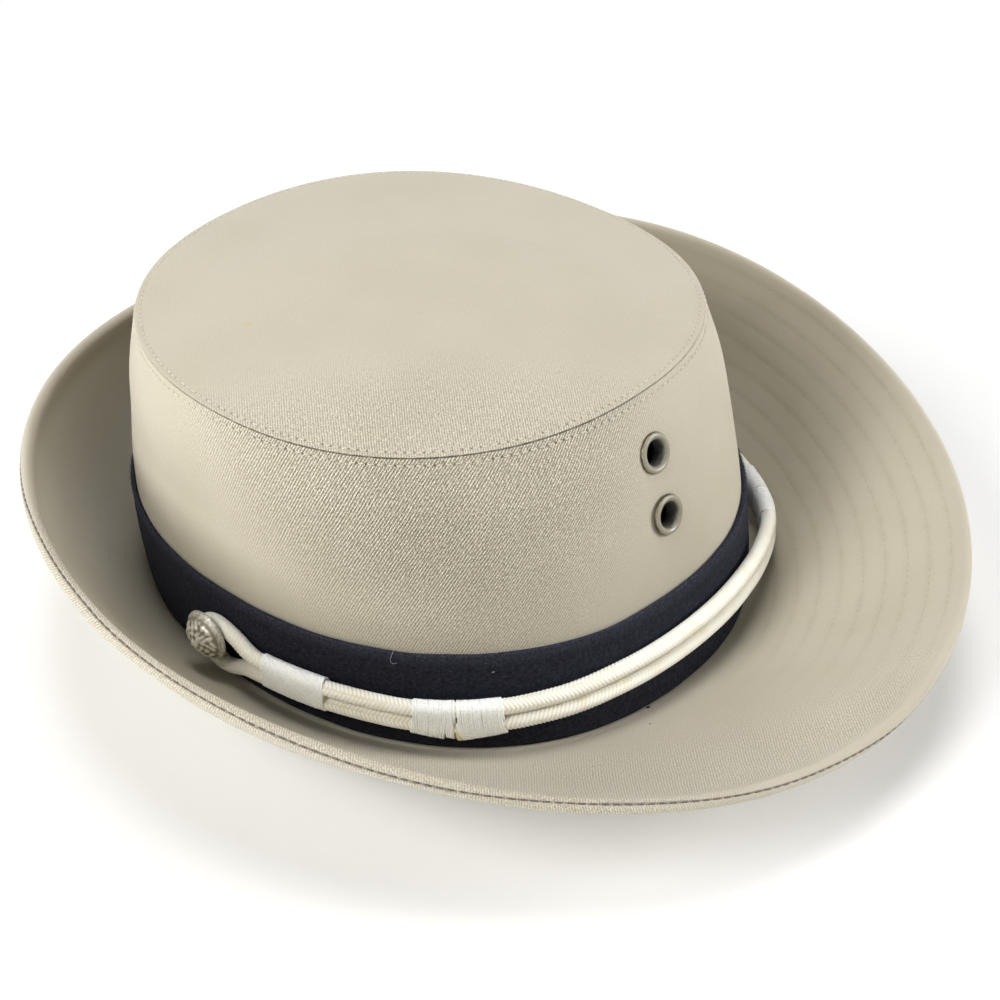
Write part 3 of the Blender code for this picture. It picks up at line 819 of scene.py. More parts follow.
def side_face(angle, below, lift=0.0):
    """Points of the crown's side at a distance below the tip's seam."""
    top = seam_height(angle)
    height = top - below
    out = seam_dips(below) + crown_lumps(angle, height / top) + lift
    back_seam = bell((math.pi - np.abs(angle)) * BASE_HALF_LENGTH, 0.0, 0.0005)
    out = out - BACK_SEAM_DIP * back_seam * ease(below, 0.0, 0.002)
    for middle in eyelet_heights():
        reach = np.linalg.norm(wall_point(angle, height) - wall_point(0.0, middle), axis=-1)
        out = out - EYELET_DIMPLE * (1 - ease(reach, EYELET_DIAMETER / 2, EYELET_DIAMETER / 2 + 0.005))
    return wall_point(angle, height, out)


def turned_place(angle, height, out=0.0):
    """The frame of a turned piece whose axis stands square on the crown's wall."""
    point = Vector(wall_point(angle, height, out))
    axis = Vector(wall_axis(angle, height))
    return Matrix.Translation(point) @ axis.to_track_quat("Z", "Y").to_matrix().to_4x4()


def turned_grid(profile, sides):
    """Points of a turned shape about Z from (radius, height) pairs."""
    turn = math.tau * np.arange(sides) / sides
    radius, height = np.asarray(profile).T
    return np.stack([radius[:, None] * np.cos(turn), radius[:, None] * np.sin(turn),
                     np.repeat(height[:, None], sides, 1)], -1)


def cut_eyelet_holes(side):
    cutters = []
    radius = EYELET_BORE / 2 + EYELET_METAL + GAP
    for height in eyelet_heights():
        profile = [(radius, -3 * CROWN_CLOTH), (radius, CROWN_CLOTH)]
        mesh = sheet_mesh("eyelet_hole", turned_grid(profile, 64), caps=True, place=turned_place(0.0, height))
        cutters.append(add_object("eyelet_hole", mesh))
        cut = side.modifiers.new("eyelet_hole", "BOOLEAN")
        cut.operation = "DIFFERENCE"
        cut.solver = "EXACT"
        cut.object = cutters[-1]
    evaluated = side.evaluated_get(bpy.context.evaluated_depsgraph_get())
    mesh = bpy.data.meshes.new_from_object(evaluated)
    side.modifiers.clear()
    side.data = mesh
    for cutter in cutters:
        bpy.data.objects.remove(cutter)


def make_crown_side(material, seam_line):
    steps = BACK_COLUMNS / BASE_HALF_LENGTH
    even = np.linspace(-math.pi, math.pi, COLUMNS + 1)[2:-2]
    angle = np.concatenate([[-math.pi], steps - math.pi, even, math.pi - steps[::-1]])
    top = seam_height(angle)
    low_rows = SEAM_ROWS[-1] + (top - SEAM_ROWS[-1]) * np.linspace(0.0, 1.0, 58)[1:, None]
    below = np.concatenate([SEAM_ROWS[:, None] + np.zeros_like(angle), low_rows])[::-1]
    inner_below = CROWN_CLOTH + (top - CROWN_CLOTH) * np.linspace(0.0, 1.0, 26)[:, None]
    inner = wall_point(angle, top - inner_below, -CROWN_CLOTH)
    points = np.concatenate([side_face(angle, below), inner])
    # The flat pattern of a tapered wall is part of a ring round a far centre
    full = np.append(angle, math.pi)
    run = length_along(wall_point(full, SIDE_PATTERN_LEVEL))
    turn = (run - run[len(run) // 2]) / SIDE_PATTERN_RADIUS
    down = closed(np.concatenate([below, inner_below]))
    radius = SIDE_PATTERN_RADIUS + SIDE_PATTERN_LEVEL - (CROWN_HEIGHT - down)
    cloth = np.stack([radius * np.sin(turn), -radius * np.cos(turn)], -1)
    seam = np.stack(np.broadcast_arrays(seam_line.turn(full), down), -1)
    mesh = sheet_mesh("crown_side_cloth", points, (("cloth", cloth), ("seam", seam)), closed_rows=True)
    side = add_piece(mesh, material, "drill", "crown_side")
    cut_eyelet_holes(side)


def tip_face(angle, inward, lift=0.0):
    """Points of the tip's upper face at a distance in from its seam."""
    edge = wall_point(angle, seam_height(angle))
    reach = edge - np.array([0.0, TIP_SET_BACK, 0.0])
    length = np.linalg.norm(reach[..., :2], axis=-1)
    share = 1 - inward / length
    plan = np.array([0.0, TIP_SET_BACK]) + reach[..., :2] * share[..., None]
    dome = TIP_DOME * (1 - share ** 2)
    height = CROWN_HEIGHT + TIP_SADDLE * np.cos(2 * angle) * share ** 2 + dome + GAP * math.sqrt(2)
    uneven = TIP_UNEVEN * ease(1 - share, 0.0, 0.3)
    uneven = uneven * (np.sin(plan[..., 0] * 62 + 1.0) + np.sin(plan[..., 1] * 75 - 0.5 + plan[..., 0] * 30))
    return np.concatenate([plan, (height + seam_dips(inward) + uneven + lift)[..., None]], -1)


def make_crown_tip(material, seam_line):
    angle = COLUMN_ANGLES
    edge = wall_point(angle, seam_height(angle)) - np.array([0.0, TIP_SET_BACK, 0.0])
    length = np.linalg.norm(edge[:, :2], axis=-1)
    far_rows = SEAM_ROWS[-1] + (length * TIP_ROWS_REACH - SEAM_ROWS[-1]) * np.linspace(0.0, 1.0, 46)[1:, None]
    inward = np.concatenate([SEAM_ROWS[:, None] + np.zeros_like(angle), far_rows])
    under_rows = np.linspace(TIP_ROWS_REACH, TIP_UNDER_EDGE, 14)[:, None]
    under = under_rows * length
    lower = tip_face(angle, under) - np.array([0.0, 0.0, TIP_CLOTH])
    points = np.concatenate([lower, tip_face(angle, inward)])
    distance = closed(np.concatenate([under, inward]), rows=False)
    seam = np.stack(np.broadcast_arrays(seam_line.turn(np.append(angle, math.pi)), distance), -1)
    maps = (("cloth", closed(points[..., :2], rows=False)), ("seam", seam))
    mesh = sheet_mesh("crown_tip_cloth", points, maps, caps=True)
    add_piece(mesh, material, "drill", "crown_tip")


# Brim

# Shares of the way from each edge of the roll to its seam, and rows beside the seam in degrees
RIM_SHARES = np.array([0.04, 0.12, 0.22, 0.32, 0.42, 0.52, 0.62, 0.72, 0.82])
SEAM_TURNS = np.array([-13.0, -8.0, -4.0, 0.0, 4.0, 8.0, 13.0])
# Distances from the crown where the brim's upper face has a row of points
FOOT_ROWS = np.array([8.0, 6.6, 5.8, 5.3, 4.9, 4.5, 4.1, 3.7, 3.3, 2.9, 2.4, 1.6, 0.8, 0.0]) * MM


def row_depth(angle):
    """The rows of stitches show most on the wearer's left, and are pressed flat elsewhere."""
    degrees = np.degrees(angle)
    return 0.15 + 0.85 * ease(degrees, -4.0, 20.0) * (1 - 0.75 * ease(degrees, 70.0, 100.0))


def brim_dips(angle, from_rim):
    """The cloth thickens at the rim, swells beside the band and is drawn in along each row of stitches."""
    from_crown = brim_width(angle) - from_rim
    dips = (RIM_ROLL - BRIM_CLOTH) / 2 * (1 - ease(from_rim, 0.0, HEM))
    near_front = 0.15 + 0.85 * ease(np.cos(angle + 0.6), 0.55, 0.95)
    dips = dips + near_front * (FOOT_SWELL * bell(from_crown, 2.5 * MM, 0.6 * MM)
                                - FOOT_GROOVE * bell(from_crown, 3.7 * MM, 0.5 * MM))
    for row in DIPPED_ROWS:
        dips = dips - BRIM_ROW_DIP * row_depth(angle) * bell(from_rim, row, 0.0011)
    return dips


def rim_seam_turn(angle):
    """How far round the roll the rim's seam lies, in radians."""
    places = list(RIM_SEAM)
    values = list(RIM_SEAM.values())
    degrees = np.degrees(angle)
    spread = (-4.0, -2.0, 0.0, 2.0, 4.0)
    turns = [np.interp(degrees + shift, places, values, period=360.0) for shift in spread]
    return np.radians(np.mean(turns, axis=0))


def brim_parts(angle, share):
    """A place on the brim's line, with the directions along the cloth and square to it."""
    out, up, slope = brim_line(angle, share)
    away = out_of_hat(angle)
    rise = np.array([0.0, 0.0, 1.0])
    point = wall_point(angle, BRIM_SEAT, GAP) + away * out[..., None] + rise * up[..., None]
    along = away * np.cos(slope)[..., None] + rise * np.sin(slope)[..., None]
    across = rise * np.cos(slope)[..., None] - away * np.sin(slope)[..., None]
    return point, along, across


def brim_face(angle, from_rim, lift=0.0, under=False):
    """Points of the brim's upper or lower face at a distance from the rim."""
    angle, from_rim = np.broadcast_arrays(angle, from_rim)
    share = 1 - from_rim / brim_width(angle)
    point, along, across = brim_parts(angle, share)
    rise = brim_dips(angle, from_rim) + lift
    if under:
        rise = -BRIM_CLOTH - rise
    return point + across * rise[..., None]


def rim_point(angle, turn, lift=0.0):
    """Points round the rolled rim; turn is 0 at its outermost and 90 degrees on top."""
    point, along, across = brim_parts(angle, 1.0)
    radius = RIM_ROLL / 2 - RIM_GROOVE * bell(np.degrees(turn - rim_seam_turn(angle)), 0.0, 9.0) + lift
    spoke = along * np.cos(turn)[..., None] + across * np.sin(turn)[..., None]
    return point - across * BRIM_CLOTH / 2 + spoke * radius[..., None]


def brim_map(angle, from_rim):
    """The brim's cloth laid flat: the crown's foot with the cloth spread round it."""
    width = brim_width(angle)
    away = outward(angle, np.zeros_like(angle))
    return wall_point(angle, BRIM_SEAT)[..., :2] + away * (width - from_rim)[..., None]


def make_brim(material):
    angle = COLUMN_ANGLES
    width = brim_width(angle)
    close = np.array([-1.5, -1.0, -0.5, 0.0, 0.5, 1.0, 1.5]) * MM
    rows = DIPPED_ROWS[:, None] + close
    between = DIPPED_ROWS[:, None] + BRIM_ROW_PITCH / 2 + np.array([-1, 1]) * MM
    fixed = np.sort(np.concatenate([[0.0, 0.8 * MM, 1.6 * MM], rows.ravel(), between.ravel()]))
    fixed = fixed[fixed < width.min() - FOOT_ROWS[0] - MM]
    between = fixed[-1] + (width - FOOT_ROWS[0] - fixed[-1]) * np.array([0.33, 0.67])[:, None]
    fixed = fixed[:, None] + np.zeros_like(angle)
    upper_rows = np.concatenate([fixed, between, width - FOOT_ROWS[:, None]])
    lower_rows = np.concatenate([fixed[:-3:3], between, width - FOOT_ROWS[::4, None], width[None]])[::-1]
    seam_turn = rim_seam_turn(angle)
    below = -math.pi / 2 + (seam_turn + math.pi / 2) * RIM_SHARES[:, None]
    above = math.pi / 2 + (seam_turn - math.pi / 2) * RIM_SHARES[::-1, None]
    roll = np.concatenate([below, seam_turn + np.radians(SEAM_TURNS)[:, None], above])
    lower = brim_face(angle, lower_rows, under=True)
    start = np.radians(round_the_hat("start_slope", angle))
    lower[0] = wall_point(angle, BRIM_SEAT - BRIM_CLOTH / np.cos(start), GAP)
    rim = rim_point(angle[None] + np.zeros_like(roll), roll)
    points = np.concatenate([lower, rim, brim_face(angle, upper_rows)])
    past_rim = np.where(roll > seam_turn, roll - math.pi / 2, -roll - math.pi / 2) * RIM_ROLL / 2
    from_rim = np.concatenate([lower_rows, past_rim, upper_rows])
    # Where the groove of the rim's seam gets its painted shade
    rim_seam = np.zeros_like(from_rim)
    rim_seam[len(lower_rows):len(lower_rows) + len(roll)] = bell(np.degrees(roll - seam_turn), 0.0, 6.5)
    distance = closed(from_rim)
    cloth = brim_map(np.append(angle, math.pi)[None] + np.zeros_like(distance), distance)
    # The roll of the rim is rubbed smooth on the wearer's left
    rubbed = ease(np.degrees(angle), -32.0, -14.0) * (1 - ease(from_rim, 0.0, 0.0040))
    shades = (("from_rim", from_rim), ("rim_seam", rim_seam), ("rib_show", 1 - 0.85 * rubbed),
              ("rows", row_depth(angle) + np.zeros_like(from_rim)))
    mesh = sheet_mesh("brim_cloth", points, (("cloth", cloth),), shades, closed_rows=True)
    add_piece(mesh, material, "drill", "brim")


def sunk(angle, lift):
    """How high a stitch of the brim's rows stands where the rows are pressed flat."""
    return lift - (1.5 - row_depth(angle)) * 1.6 * BRIM_THREAD


def make_stitches(seam_line, seam_thread, row_thread, shaded_edge_thread):
    rows = [seam_line.tubes(lambda a, lift: face(a, np.full_like(a, SEAM_ROW), lift), SEAM_THREAD)
            for face in (side_face, tip_face)]
    add_stitches("tip_seam_stitches", rows, seam_thread, "drill")
    for name, under in (("brim_stitches_upper", False), ("brim_stitches_lower", True)):
        rows = []
        for row in range(BRIM_ROWS):
            from_rim = BRIM_FIRST_ROW + row * BRIM_ROW_PITCH
            line = StitchLine(lambda a: brim_face(a, from_rim), BRIM_STITCH)
            rows.append(line.tubes(lambda a, lift: brim_face(a, from_rim, sunk(a, lift), under), BRIM_THREAD,
                                   lambda a: brim_width(a) > from_rim + 0.004))
        add_stitches(name, rows, row_thread, "drill")
    # The rim's seam stitches are near black, painted shade of its groove
    line = StitchLine(lambda a: rim_point(a, rim_seam_turn(a)), RIM_STITCH)
    rows = [line.tubes(lambda a, lift: rim_point(a, rim_seam_turn(a), lift), RIM_THREAD)]
    add_stitches("rim_seam_stitches", rows, shaded_edge_thread, "drill")


# Felt band

def band_foot(angle):
    """Height of the band's lower edge, just clear of the brim's upper face."""
    out, up, slope = brim_line(angle, 0.04)
    return BRIM_SEAT + GAP + (GAP + BAND_FELT) * np.maximum(0.0, up / out)


def make_hat_band(material):
    angle = COLUMN_ANGLES
    foot = band_foot(angle)
    share = np.linspace(0.0, 1.0, 34)[:, None]
    edge = 0.0003 * soft_noise(1, COLUMNS, (0, 9))[0]
    lumps = 0.00012 * soft_noise(34, COLUMNS, (3, 6))
    height = foot + (BAND_TOP - 0.0007 + edge - foot) * share
    outer = band_point(angle, height, lumps - 0.0002)
    turn = np.radians(np.array([30.0, 65.0, 100.0, 140.0, 180.0]))[:, None]
    round_edge = wall_point(angle, height[-1] + 0.0006 * np.sin(turn),
                            GAP + BAND_FELT / 2 - 0.0001 + (BAND_FELT / 2 - 0.0001) * np.cos(turn))
    inner = wall_point(angle, foot + (height[-1] - foot) * share[::-4][1:], GAP)
    points = np.concatenate([outer, round_edge, inner])
    add_piece(sheet_mesh("hat_band_felt", points, closed_rows=True), material, "felt", "hat_band")


def make_felt_fuzz(material):
    """Loose fibres that stand off the felt, most of them along its top edge."""
    count = FIBRES
    angle = random.uniform(-math.pi, math.pi, count)
    height = 0.006 + (BAND_TOP - 0.0065) * random.uniform(0.0, 1.0, count) ** 0.6
    at_edge = random.uniform(0.0, 1.0, count) < 0.5
    height = np.where(at_edge, BAND_TOP - random.uniform(0.0, 0.0008, count), height)
    length = random.uniform(0.0004, 0.0013, count)
    heading = random.uniform(0.0, math.tau, count)
    steps = np.linspace(0.0, 1.0, 4)
    run = (length * np.cos(heading))[:, None] * steps
    climb = (length * np.abs(np.sin(heading)) * np.where(at_edge, 0.8, 0.5))[:, None] * steps
    out = (length * random.uniform(0.2, 0.6, count))[:, None] * steps * (1.6 - steps)
    top = np.where(at_edge, BAND_TOP + 0.0006, BAND_TOP - 0.0003)[:, None]
    place = angle[:, None] + run / BASE_HALF_WIDTH
    centres = band_point(place, np.minimum(height[:, None] + climb, top), out - 0.0003)
    lifts = out_of_hat(place)
    radii = FIBRE_RADIUS * np.linspace(1.2, 0.5, 4) * np.ones((count, 1))
    add_piece(tubes_mesh("felt_fuzz", centres, lifts, radii, 3), material, "felt")


def make_caught_thread(material):
    """A curled end of thread that hangs over the band's top edge."""
    along, up = np.array([CAUGHT_THREAD["along"], CAUGHT_THREAD["up"]]) * MM
    knots = np.arange(len(up))
    places = np.linspace(0, len(up) - 1, 24)
    bend = np.sin(places * math.pi / (len(up) - 1))
    angle = math.radians(CAUGHT_THREAD["angle"]) + np.interp(places, knots, along) / BASE_HALF_WIDTH
    height = np.interp(places, knots, up)
    for repeat in range(4):
        angle[1:-1] = (angle[:-2] + 2 * angle[1:-1] + angle[2:]) / 4
        height[1:-1] = (height[:-2] + 2 * height[1:-1] + height[2:]) / 4
    centres = band_point(angle, BAND_TOP + height, 0.0002 + 0.0003 * bend)
    lifts = out_of_hat(angle)
    radii = np.full((1, len(places)), 0.00008)
    add_piece(tubes_mesh("caught_thread", centres[None], lifts[None], radii, 6), material, "thread")


def make_crumbs(materials):
    """Small crumbs of felt and dust on the band and the brim."""
    for number, crumb in enumerate(CRUMBS, 1):
        angle = math.radians(crumb["angle"]) + np.linspace(-1.6, 1.6, 5) * crumb["size"] / BASE_HALF_WIDTH
        distance = crumb["distance"] + np.linspace(-0.7, 0.9, 5) * crumb["size"]
        if crumb["where"] == "band":
            centres = band_point(angle, distance, crumb["size"] * 0.6)
            lifts = out_of_hat(angle)
        else:
            centres = brim_face(angle, brim_width(angle) - distance, crumb["size"] * 0.6)
            lifts = np.zeros_like(centres) + [0.0, 0.0, 1.0]
        radii = crumb["size"] * np.array([[0.3, 0.9, 1.0, 0.7, 0.3]])
        mesh = tubes_mesh(f"crumb_{number}", centres[None], lifts[None], radii, 8)
        add_piece(mesh, *materials[crumb["cloth"]])


# Cord and windings

def route(column, place):
    """A smooth curve through a column of CORD_ROUTE, level or gently sloped at each row."""
    places, values = (np.array(CORD_ROUTE)[:, CORD_COLUMNS.index(name)] for name in ("angle", column))
    low = np.maximum(np.arange(len(places)) - 1, 0)
    high = np.minimum(np.arange(len(places)) + 1, len(places) - 1)
    slopes = (values[high] - values[low]) / (places[high] - places[low])
    place = np.minimum(np.abs(place), places[-1])
    i = np.clip(np.searchsorted(places, place) - 1, 0, len(places) - 2)
    width = places[i + 1] - places[i]
    share = (place - places[i]) / width
    square, cube = share ** 2, share ** 3
    start = (2 * cube - 3 * square + 1) * values[i] + (cube - 2 * square + share) * width * slopes[i]
    return start + (3 * square - 2 * cube) * values[i + 1] + (cube - square) * width * slopes[i + 1]


def cord_row(degrees):
    """Height of the middle of the two strands and how far they stand off the band."""
    slack = bell(degrees, SLACK["angle"], SLACK["reach"])
    out = GAP + CORD_DIAMETER / 2 + route("lift", degrees) * (THREAD + GAP) + SLACK["out"] * slack
    return route("middle", degrees) * BAND_TOP - SLACK["down"] * slack, out


def cord_path(count):
    """Even points along the closed loop of the cord, and the loop's length."""
    half = [(angle, spread) for angle, middle, spread, lift in CORD_ROUTE]
    upper = [(-angle, spread) for angle, spread in half[::-1]] + half[1:]
    lower = [(angle, -spread) for angle, spread in upper[-2:0:-1]]
    degrees, spread = np.array(upper + lower).T
    middle, out = cord_row(degrees)
    knots = band_point(np.radians(degrees), middle + spread * CORD_DIAMETER, out)
    a, b, c, d = (np.roll(knots, -k, axis=0)[:, None] for k in (-1, 0, 1, 2))
    t = np.linspace(0.0, 1.0, 60, endpoint=False)[:, None]
    bends = (2 * a - 5 * b + 4 * c - d) * t ** 2 + (3 * b - a - 3 * c + d) * t ** 3
    curve = 0.5 * (2 * b + (c - a) * t + bends).reshape(-1, 3)
    curve = np.vstack([curve, curve[:1]])
    run = length_along(curve)
    places = np.linspace(0.0, run[-1], count, endpoint=False)
    return np.stack([np.interp(places, run, curve[:, k]) for k in range(3)], -1), run[-1]


def make_cord(material):
    """The plaited cord: four columns of slanting ribs, each leaning the other way from its neighbours."""
    path, length = cord_path(CORD_RINGS)
    along = unit(np.roll(path, -1, axis=0) - np.roll(path, 1, axis=0))
    turn = math.tau * np.arange(CORD_SIDES) / CORD_SIDES
    ribs = round(length / PLAIT_PITCH)
    run = np.arange(CORD_RINGS)[:, None] / CORD_RINGS * ribs
    twist = 0.5 * np.sin(math.tau * run / ribs * 3)
    column_place = (turn / (math.pi / 2) + twist) % 4
    column = np.floor(column_place)
    across = column_place - column
    lean = np.where(column % 2 < 1, 1.0, -1.0)
    phase = run + lean * PLAIT_SLANT * (across - 0.5) + 0.25 * (column % 4)
    rib = 0.5 + 0.5 * np.cos(math.tau * phase)
    hump = np.sqrt(np.clip(1 - (2 * across - 1) ** 4, 0.0, 1.0))
    crest = rib ** 0.7 * hump
    crisp = ease((path + HAT_SHIFT) @ np.array(CRISP_DIRECTION), PLAIT_CRISP_FROM, PLAIT_CRISP_TO)[:, None]
    crest = 0.6 + (crest - 0.6) * (0.35 + 0.65 * crisp)
    radius = CORD_DIAMETER / 2 - PLAIT_DEPTH * (1 - crest)
    points = path[:, None] + spokes_round(along, level(path[:, :2]), turn) * radius[..., None]
    mesh = sheet_mesh("cord_braid", points, shades=(("crest", crest),), closed_rows=True)
    add_piece(mesh, material, "braid", "cord")


def make_winding(name, form, side, material, replaced):
    """Turns of thread round both strands of the cord."""
    start, end = form["ends"]
    foot_start, foot_end = form["foot"]
    half_height = WOUND_SPREAD * CORD_DIAMETER
    reach = math.radians(end - start) * (BASE_HALF_WIDTH + 0.005)
    turns = int(reach / WINDING_PITCH)
    shifts = random.uniform(-1.0, 1.0, turns + 1) * form["uneven"]
    bulges = random.uniform(-1.0, 1.0, turns + 1) * form["uneven"] * 0.0004
    whole = np.arange(turns * POINTS_PER_TURN + 1) / POINTS_PER_TURN
    place = whole + np.interp(whole, np.arange(turns + 1), shifts)
    place = np.clip(place / turns, 0.0, 1.0)
    radius = CORD_DIAMETER / 2 - 0.00005 + np.interp(whole, np.arange(turns + 1), bulges)
    turn = math.tau * whole
    away = radius * np.cos(turn)
    apart = ease(form["apart"] - place, -0.015, 0.015) if form["apart"] else 0.0
    foot = foot_start + (foot_end - foot_start) * place - APART_DROP * apart
    spare = np.where(np.sin(turn) > 0, form["top"], foot) * np.abs(np.sin(turn))
    strand = half_height * np.clip(3.0 * np.sin(turn), -1.0, 1.0)
    lower = ease(-np.sin(turn), 0.0, 0.85)
    degrees = side * (start + (end - start) * place + (form["lean"] - APART_LEAN * apart) * lower)
    middle, out = cord_row(degrees)
    centres = band_point(np.radians(degrees), middle + (radius + spare) * np.sin(turn) + strand, out + away)
    hub = band_point(np.radians(degrees), middle + strand, out)
    radii = np.full((1, len(whole)), WINDING_THREAD)
    mesh = tubes_mesh(name, centres[None], (centres - hub)[None], radii, 8)
    add_piece(mesh, material, "thread", replaced)


def make_keeper_end(material):
    """A worn end of the windings' thread that shows between the two keepers on the wearer's right."""
    rings = 16
    place = np.linspace(0.0, 1.0, rings)
    degrees = -44.0 + 0.35 * place
    middle, out = cord_row(degrees)
    height = middle - CORD_DIAMETER * (0.25 + 1.06 * place)
    centres = band_point(np.radians(degrees), height, out + CORD_DIAMETER * (0.40 - 0.22 * place ** 2))
    lifts = out_of_hat(np.radians(degrees))
    radii = 0.00035 + 0.00080 * place[None] + 0.00006 * np.cos(place[None] * 30)
    add_piece(tubes_mesh("keeper_thread_end", centres[None], lifts[None], radii, 12), material, "thread")


# Buttons and eyelets

def make_button(name, side, material, replaced):
    """A domed button with worn, curling leaves round its middle and a ridged border."""
    segments = BUTTON_SEGMENTS
    angle = side * math.radians(BUTTON_ANGLE)
    back = 2 * GAP + CORD_DIAMETER
    radius = BUTTON_DIAMETER / 2
    face = back + BUTTON_PLATE
    share = np.concatenate([np.linspace(0.0, 0.99, 78), [0.997, 1.0]])[::-1]
    turn = math.tau * np.arange(segments) / segments
    grid_share, grid_turn = np.meshgrid(share, turn, indexing="ij")
    dome = BUTTON_DOME * (1 - grid_share ** 2) ** 0.85
    bend = grid_turn + 0.35 * np.sin(7 * grid_share + 2 * np.sin(grid_turn))
    leaves = 0.5 + 0.5 * np.cos(5 * bend + 9 * grid_share)
    lobes = 0.5 + 0.5 * np.cos(3 * bend - 14 * grid_share + 1.0)
    plan = grid_share * radius / MM
    across, along = plan * np.cos(grid_turn), plan * np.sin(grid_turn)
    curls = np.sin(2.1 * across + 1.3 * np.sin(1.1 * along))
    curls = curls * np.sin(1.9 * along + 1.4 * np.sin(0.9 * across + 0.7))
    leaf = 0.4 * ease(leaves * 0.6 + lobes * 0.55, 0.0, 1.1) + 0.6 * ease(curls, -0.9, 0.8)
    relief = LEAF_HEIGHT * leaf * (1 - ease(grid_share, 0.74, 0.88))
    relief = relief + BOSS_HEIGHT * bell(grid_share, 0.0, 0.16)
    ridges = RIDGE_HEIGHT * bell(grid_share, 0.90, 0.030) * (0.6 + 0.4 * np.cos(48 * grid_turn))
    relief = relief + ridges + LIP_HEIGHT * bell(grid_share, 0.965, 0.022)
    height = face + dome * 0.93 + relief
    height = np.where(grid_share >= 0.997, face - BUTTON_PLATE * ease(grid_share, 0.996, 1.0) * 0.4, height)
    front = np.stack([radius * grid_share * np.cos(turn), radius * grid_share * np.sin(turn), height], -1)
    crest = ease(relief, 0.00006, 0.00052) + 0.45 * ease(grid_share, 0.80, 0.9)
    shank = SHANK_DIAMETER / 2
    profile = [(shank, GAP), (shank, back - 0.0004), (shank + 0.0004, back), (radius * 0.93, back),
               (radius * 0.985, back + 0.0002)]
    rear = turned_grid(profile, segments)
    points = np.concatenate([rear, front[:-1]])
    tops = np.zeros((1, segments, 3)) + [0.0, 0.0, float(height[-1, 0])]
    tops[..., :2] = front[-2][None, :, :2] * 0.2
    points = np.concatenate([points, tops])
    shades = np.concatenate([np.full(rear.shape[:2], 0.15), crest[:-1], crest[-1:]])
    place = turned_place(angle, BUTTON_HEIGHT, GAP + BAND_FELT)
    mesh = sheet_mesh(name, points, shades=(("crest", shades),), caps=True, place=place)
    add_piece(mesh, material, "silver", replaced)


# Section of an eyelet's painted ring: shares of its outer radius and of its roll, and how far its colour
# turns dark brown and metallic
EYELET_RING = (
    (1.000, 0.00, 1.1), (1.000, 0.25, 1.0), (0.985, 0.52, 0.70), (0.955, 0.76, 0.35), (0.910, 0.93, 0.10),
    (0.855, 1.00, 0.05), (0.795, 0.98, 0.05), (0.740, 0.88, 0.10), (0.690, 0.70, 0.20),
    (0.655, 0.46, 0.45), (0.638, 0.18, 0.80), (0.638, 0.00, 0.80),
)
# Section of its bare funnel and tube, from the ring inwards: shares of the outer radius and of the roll
EYELET_FUNNEL = (
    (0.655, 0.05), (0.648, 0.30), (0.638, 0.22), (0.628, -0.05), (0.621, -0.45), (0.614, -1.00),
    (0.608, -1.80),
)


def make_eyelet(name, height, enamel, barrel, replaced):
    """A painted ring, dark brown and metallic at its edges, on each face of the cloth, with a bare metal tube
    between them.
    """
    sides = 96
    bore = EYELET_BORE / 2
    tube = bore + EYELET_METAL
    flange = EYELET_DIAMETER / 2
    rear = -CROWN_CLOTH - 2 * GAP
    ring = [(flange * out, GAP + EYELET_ROLL * up) for out, up, wear in EYELET_RING]
    behind = [(flange * out, rear - EYELET_ROLL * up) for out, up, wear in EYELET_RING[::-1]]
    place = turned_place(0.0, height)
    wear = [row[2] for row in EYELET_RING]
    for label, profile, values in (("front", ring, wear), ("rear", behind, wear[::-1])):
        grid = turned_grid(profile, sides)
        shades = np.repeat(np.array(values)[:, None], sides, 1)
        mesh = sheet_mesh(f"{name}_{label}", grid, shades=(("wear", shades),), closed_rows=True, place=place)
        add_piece(mesh, enamel, "enamel", replaced if label == "front" else None)
    funnel = [(flange * out, GAP + EYELET_ROLL * up) for out, up in EYELET_FUNNEL]
    profile = [(tube, rear - EYELET_ROLL * 0.5), (tube, -2 * GAP), *funnel,
               (bore, rear), (bore + 0.0001, rear - EYELET_ROLL * 0.6)]
    mesh = sheet_mesh(f"{name}_barrel", turned_grid(profile, sides), closed_rows=True, place=place)
    add_piece(mesh, barrel, "silver")


# The hat

seam_line = StitchLine(lambda a: wall_point(a, seam_height(a)), SEAM_STITCH)
side_drill = drill_material("drill_side", SIDE_RIB_DIRECTION, RIB_PITCH, 1.50, 0.32, "side")
tip_drill = drill_material("drill_tip", TIP_RIB_DIRECTION, TIP_RIB_PITCH, 0.95, 0.22, "tip")
brim_drill = drill_material("drill_brim", BRIM_RIB_DIRECTION, RIB_PITCH, 0.56, 0.24, "rim")
khaki_thread = stitch_material("khaki_thread", (0.50, 0.455, 0.36), (0.70, 0.66, 0.55))
lint = stitch_material("lint", (0.20, 0.20, 0.24), (0.34, 0.34, 0.40))
dull_thread = stitch_material("dull_thread", (0.36, 0.325, 0.25), (0.46, 0.42, 0.325))
# The rim's seam thread is near black: painted shade of the seam's groove
shaded_rim_thread = stitch_material("rim_shade_thread", (0.075, 0.062, 0.066), (0.20, 0.17, 0.165))
yellowed_thread = stitch_material("yellowed_thread", (0.62, 0.54, 0.27), (0.84, 0.77, 0.50))
navy_felt = felt_material()
felt_fibres = fibre_material()
cream_braid = braid_material()
white_thread = thread_material()
old_silver = silver_material()
khaki_enamel = enamel_material()
shaded_bare_metal = barrel_material()

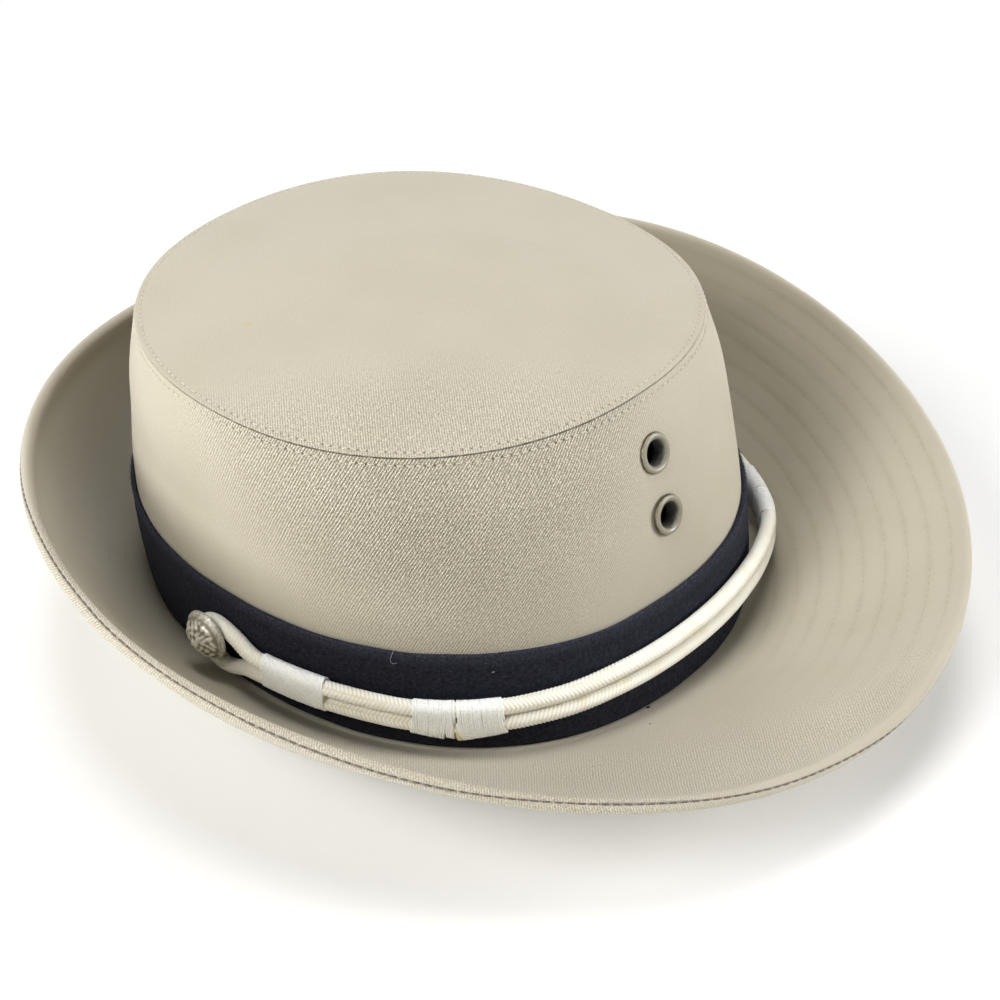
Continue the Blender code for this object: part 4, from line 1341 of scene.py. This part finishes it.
make_crown_side(side_drill, seam_line)
make_crown_tip(tip_drill, seam_line)
make_brim(brim_drill)
make_stitches(seam_line, khaki_thread, dull_thread, shaded_rim_thread)
make_hat_band(navy_felt)
make_felt_fuzz(felt_fibres)
make_caught_thread(lint)
make_crumbs({"felt": (navy_felt, "felt"), "lint": (lint, "thread")})
make_cord(cream_braid)
make_keeper_end(yellowed_thread)
for label, side in (("right", -1), ("left", 1)):
    for kind, form in WINDINGS.items():
        make_winding(f"{kind}_{label}_thread", form, side, white_thread, f"{kind}_{label}")
    make_button(f"button_{label}_relief", side, old_silver, f"button_{label}")
for label, height in zip(("upper", "lower"), eyelet_heights()):
    make_eyelet(f"eyelet_{label}_ring", height, khaki_enamel, shaded_bare_metal, f"eyelet_{label}")


# Floor, light and camera

def image_directions():
    """Directions in space that run right and up in the picture, and from the hat to the camera."""
    turn = math.radians(CAMERA_AZIMUTH)
    rise = math.radians(CAMERA_ELEVATION)
    roll = math.radians(CAMERA_ROLL)
    back = Vector((math.sin(turn) * math.cos(rise), -math.cos(turn) * math.cos(rise), math.sin(rise)))
    right = Vector((math.cos(turn), math.sin(turn), 0.0))
    up = back.cross(right)
    return right * math.cos(roll) + up * math.sin(roll), up * math.cos(roll) - right * math.sin(roll), back


def add_light(name, direction, power):
    light = bpy.data.lights.new(name, "AREA")
    light.shape = "DISK"
    light.size = LAMP_SIZE
    light.energy = power
    lamp = add_object(name, light)
    direction = direction.normalized()
    lamp.location = LAMP_TARGET + direction * LAMP_DISTANCE
    lamp.rotation_euler = direction.to_track_quat("Z", "Y").to_euler()


def make_floor():
    points = np.array([(-1, -1, 0), (1, -1, 0), (1, 1, 0), (-1, 1, 0)]) * FLOOR_HALF - HAT_SHIFT
    floor = add_object("floor", build_mesh("floor", points, [np.arange(4)[None]]))
    floor.data.materials.append(floor_material())


def make_backdrop():
    """A pale wall round the studio. Only the camera sees it, so it lights nothing."""
    edges = [(BACKDROP_RADIUS, height) for height in BACKDROP_EDGES]
    wall = add_object("backdrop", sheet_mesh("backdrop", turned_grid(edges, 64) - HAT_SHIFT))
    wall.data.materials.append(backdrop_material())
    wall.visible_diffuse = False
    wall.visible_glossy = False
    wall.visible_shadow = False


def set_camera():
    right, up, back = image_directions()
    camera = bpy.data.cameras.new("camera")
    camera.sensor_width = 36.0
    camera.lens = CAMERA_FOCAL * 36.0
    camera.clip_start = 0.05
    holder = add_object("camera", camera)
    turn = Matrix((right, up, back)).transposed().to_4x4()
    holder.matrix_world = Matrix.Translation(CAMERA_TARGET + back * CAMERA_DISTANCE) @ turn
    bpy.context.scene.camera = holder


def set_world():
    world = bpy.data.worlds.new("studio")
    world.use_nodes = True
    background = world.node_tree.nodes["Background"]
    background.inputs["Color"].default_value = (1.0, 1.0, 1.0, 1.0)
    background.inputs["Strength"].default_value = WORLD_STRENGTH
    bpy.context.scene.world = world


make_floor()
make_backdrop()
set_world()
right, up, back = image_directions()
towards_camera = Vector((back.x, back.y, 0.0)).normalized()
for name, (aside, near, height, power) in LAMPS.items():
    add_light(name, right * aside + towards_camera * near + Vector((0.0, 0.0, height)), power)
set_camera()
bpy.context.scene.view_settings.view_transform = "Standard"
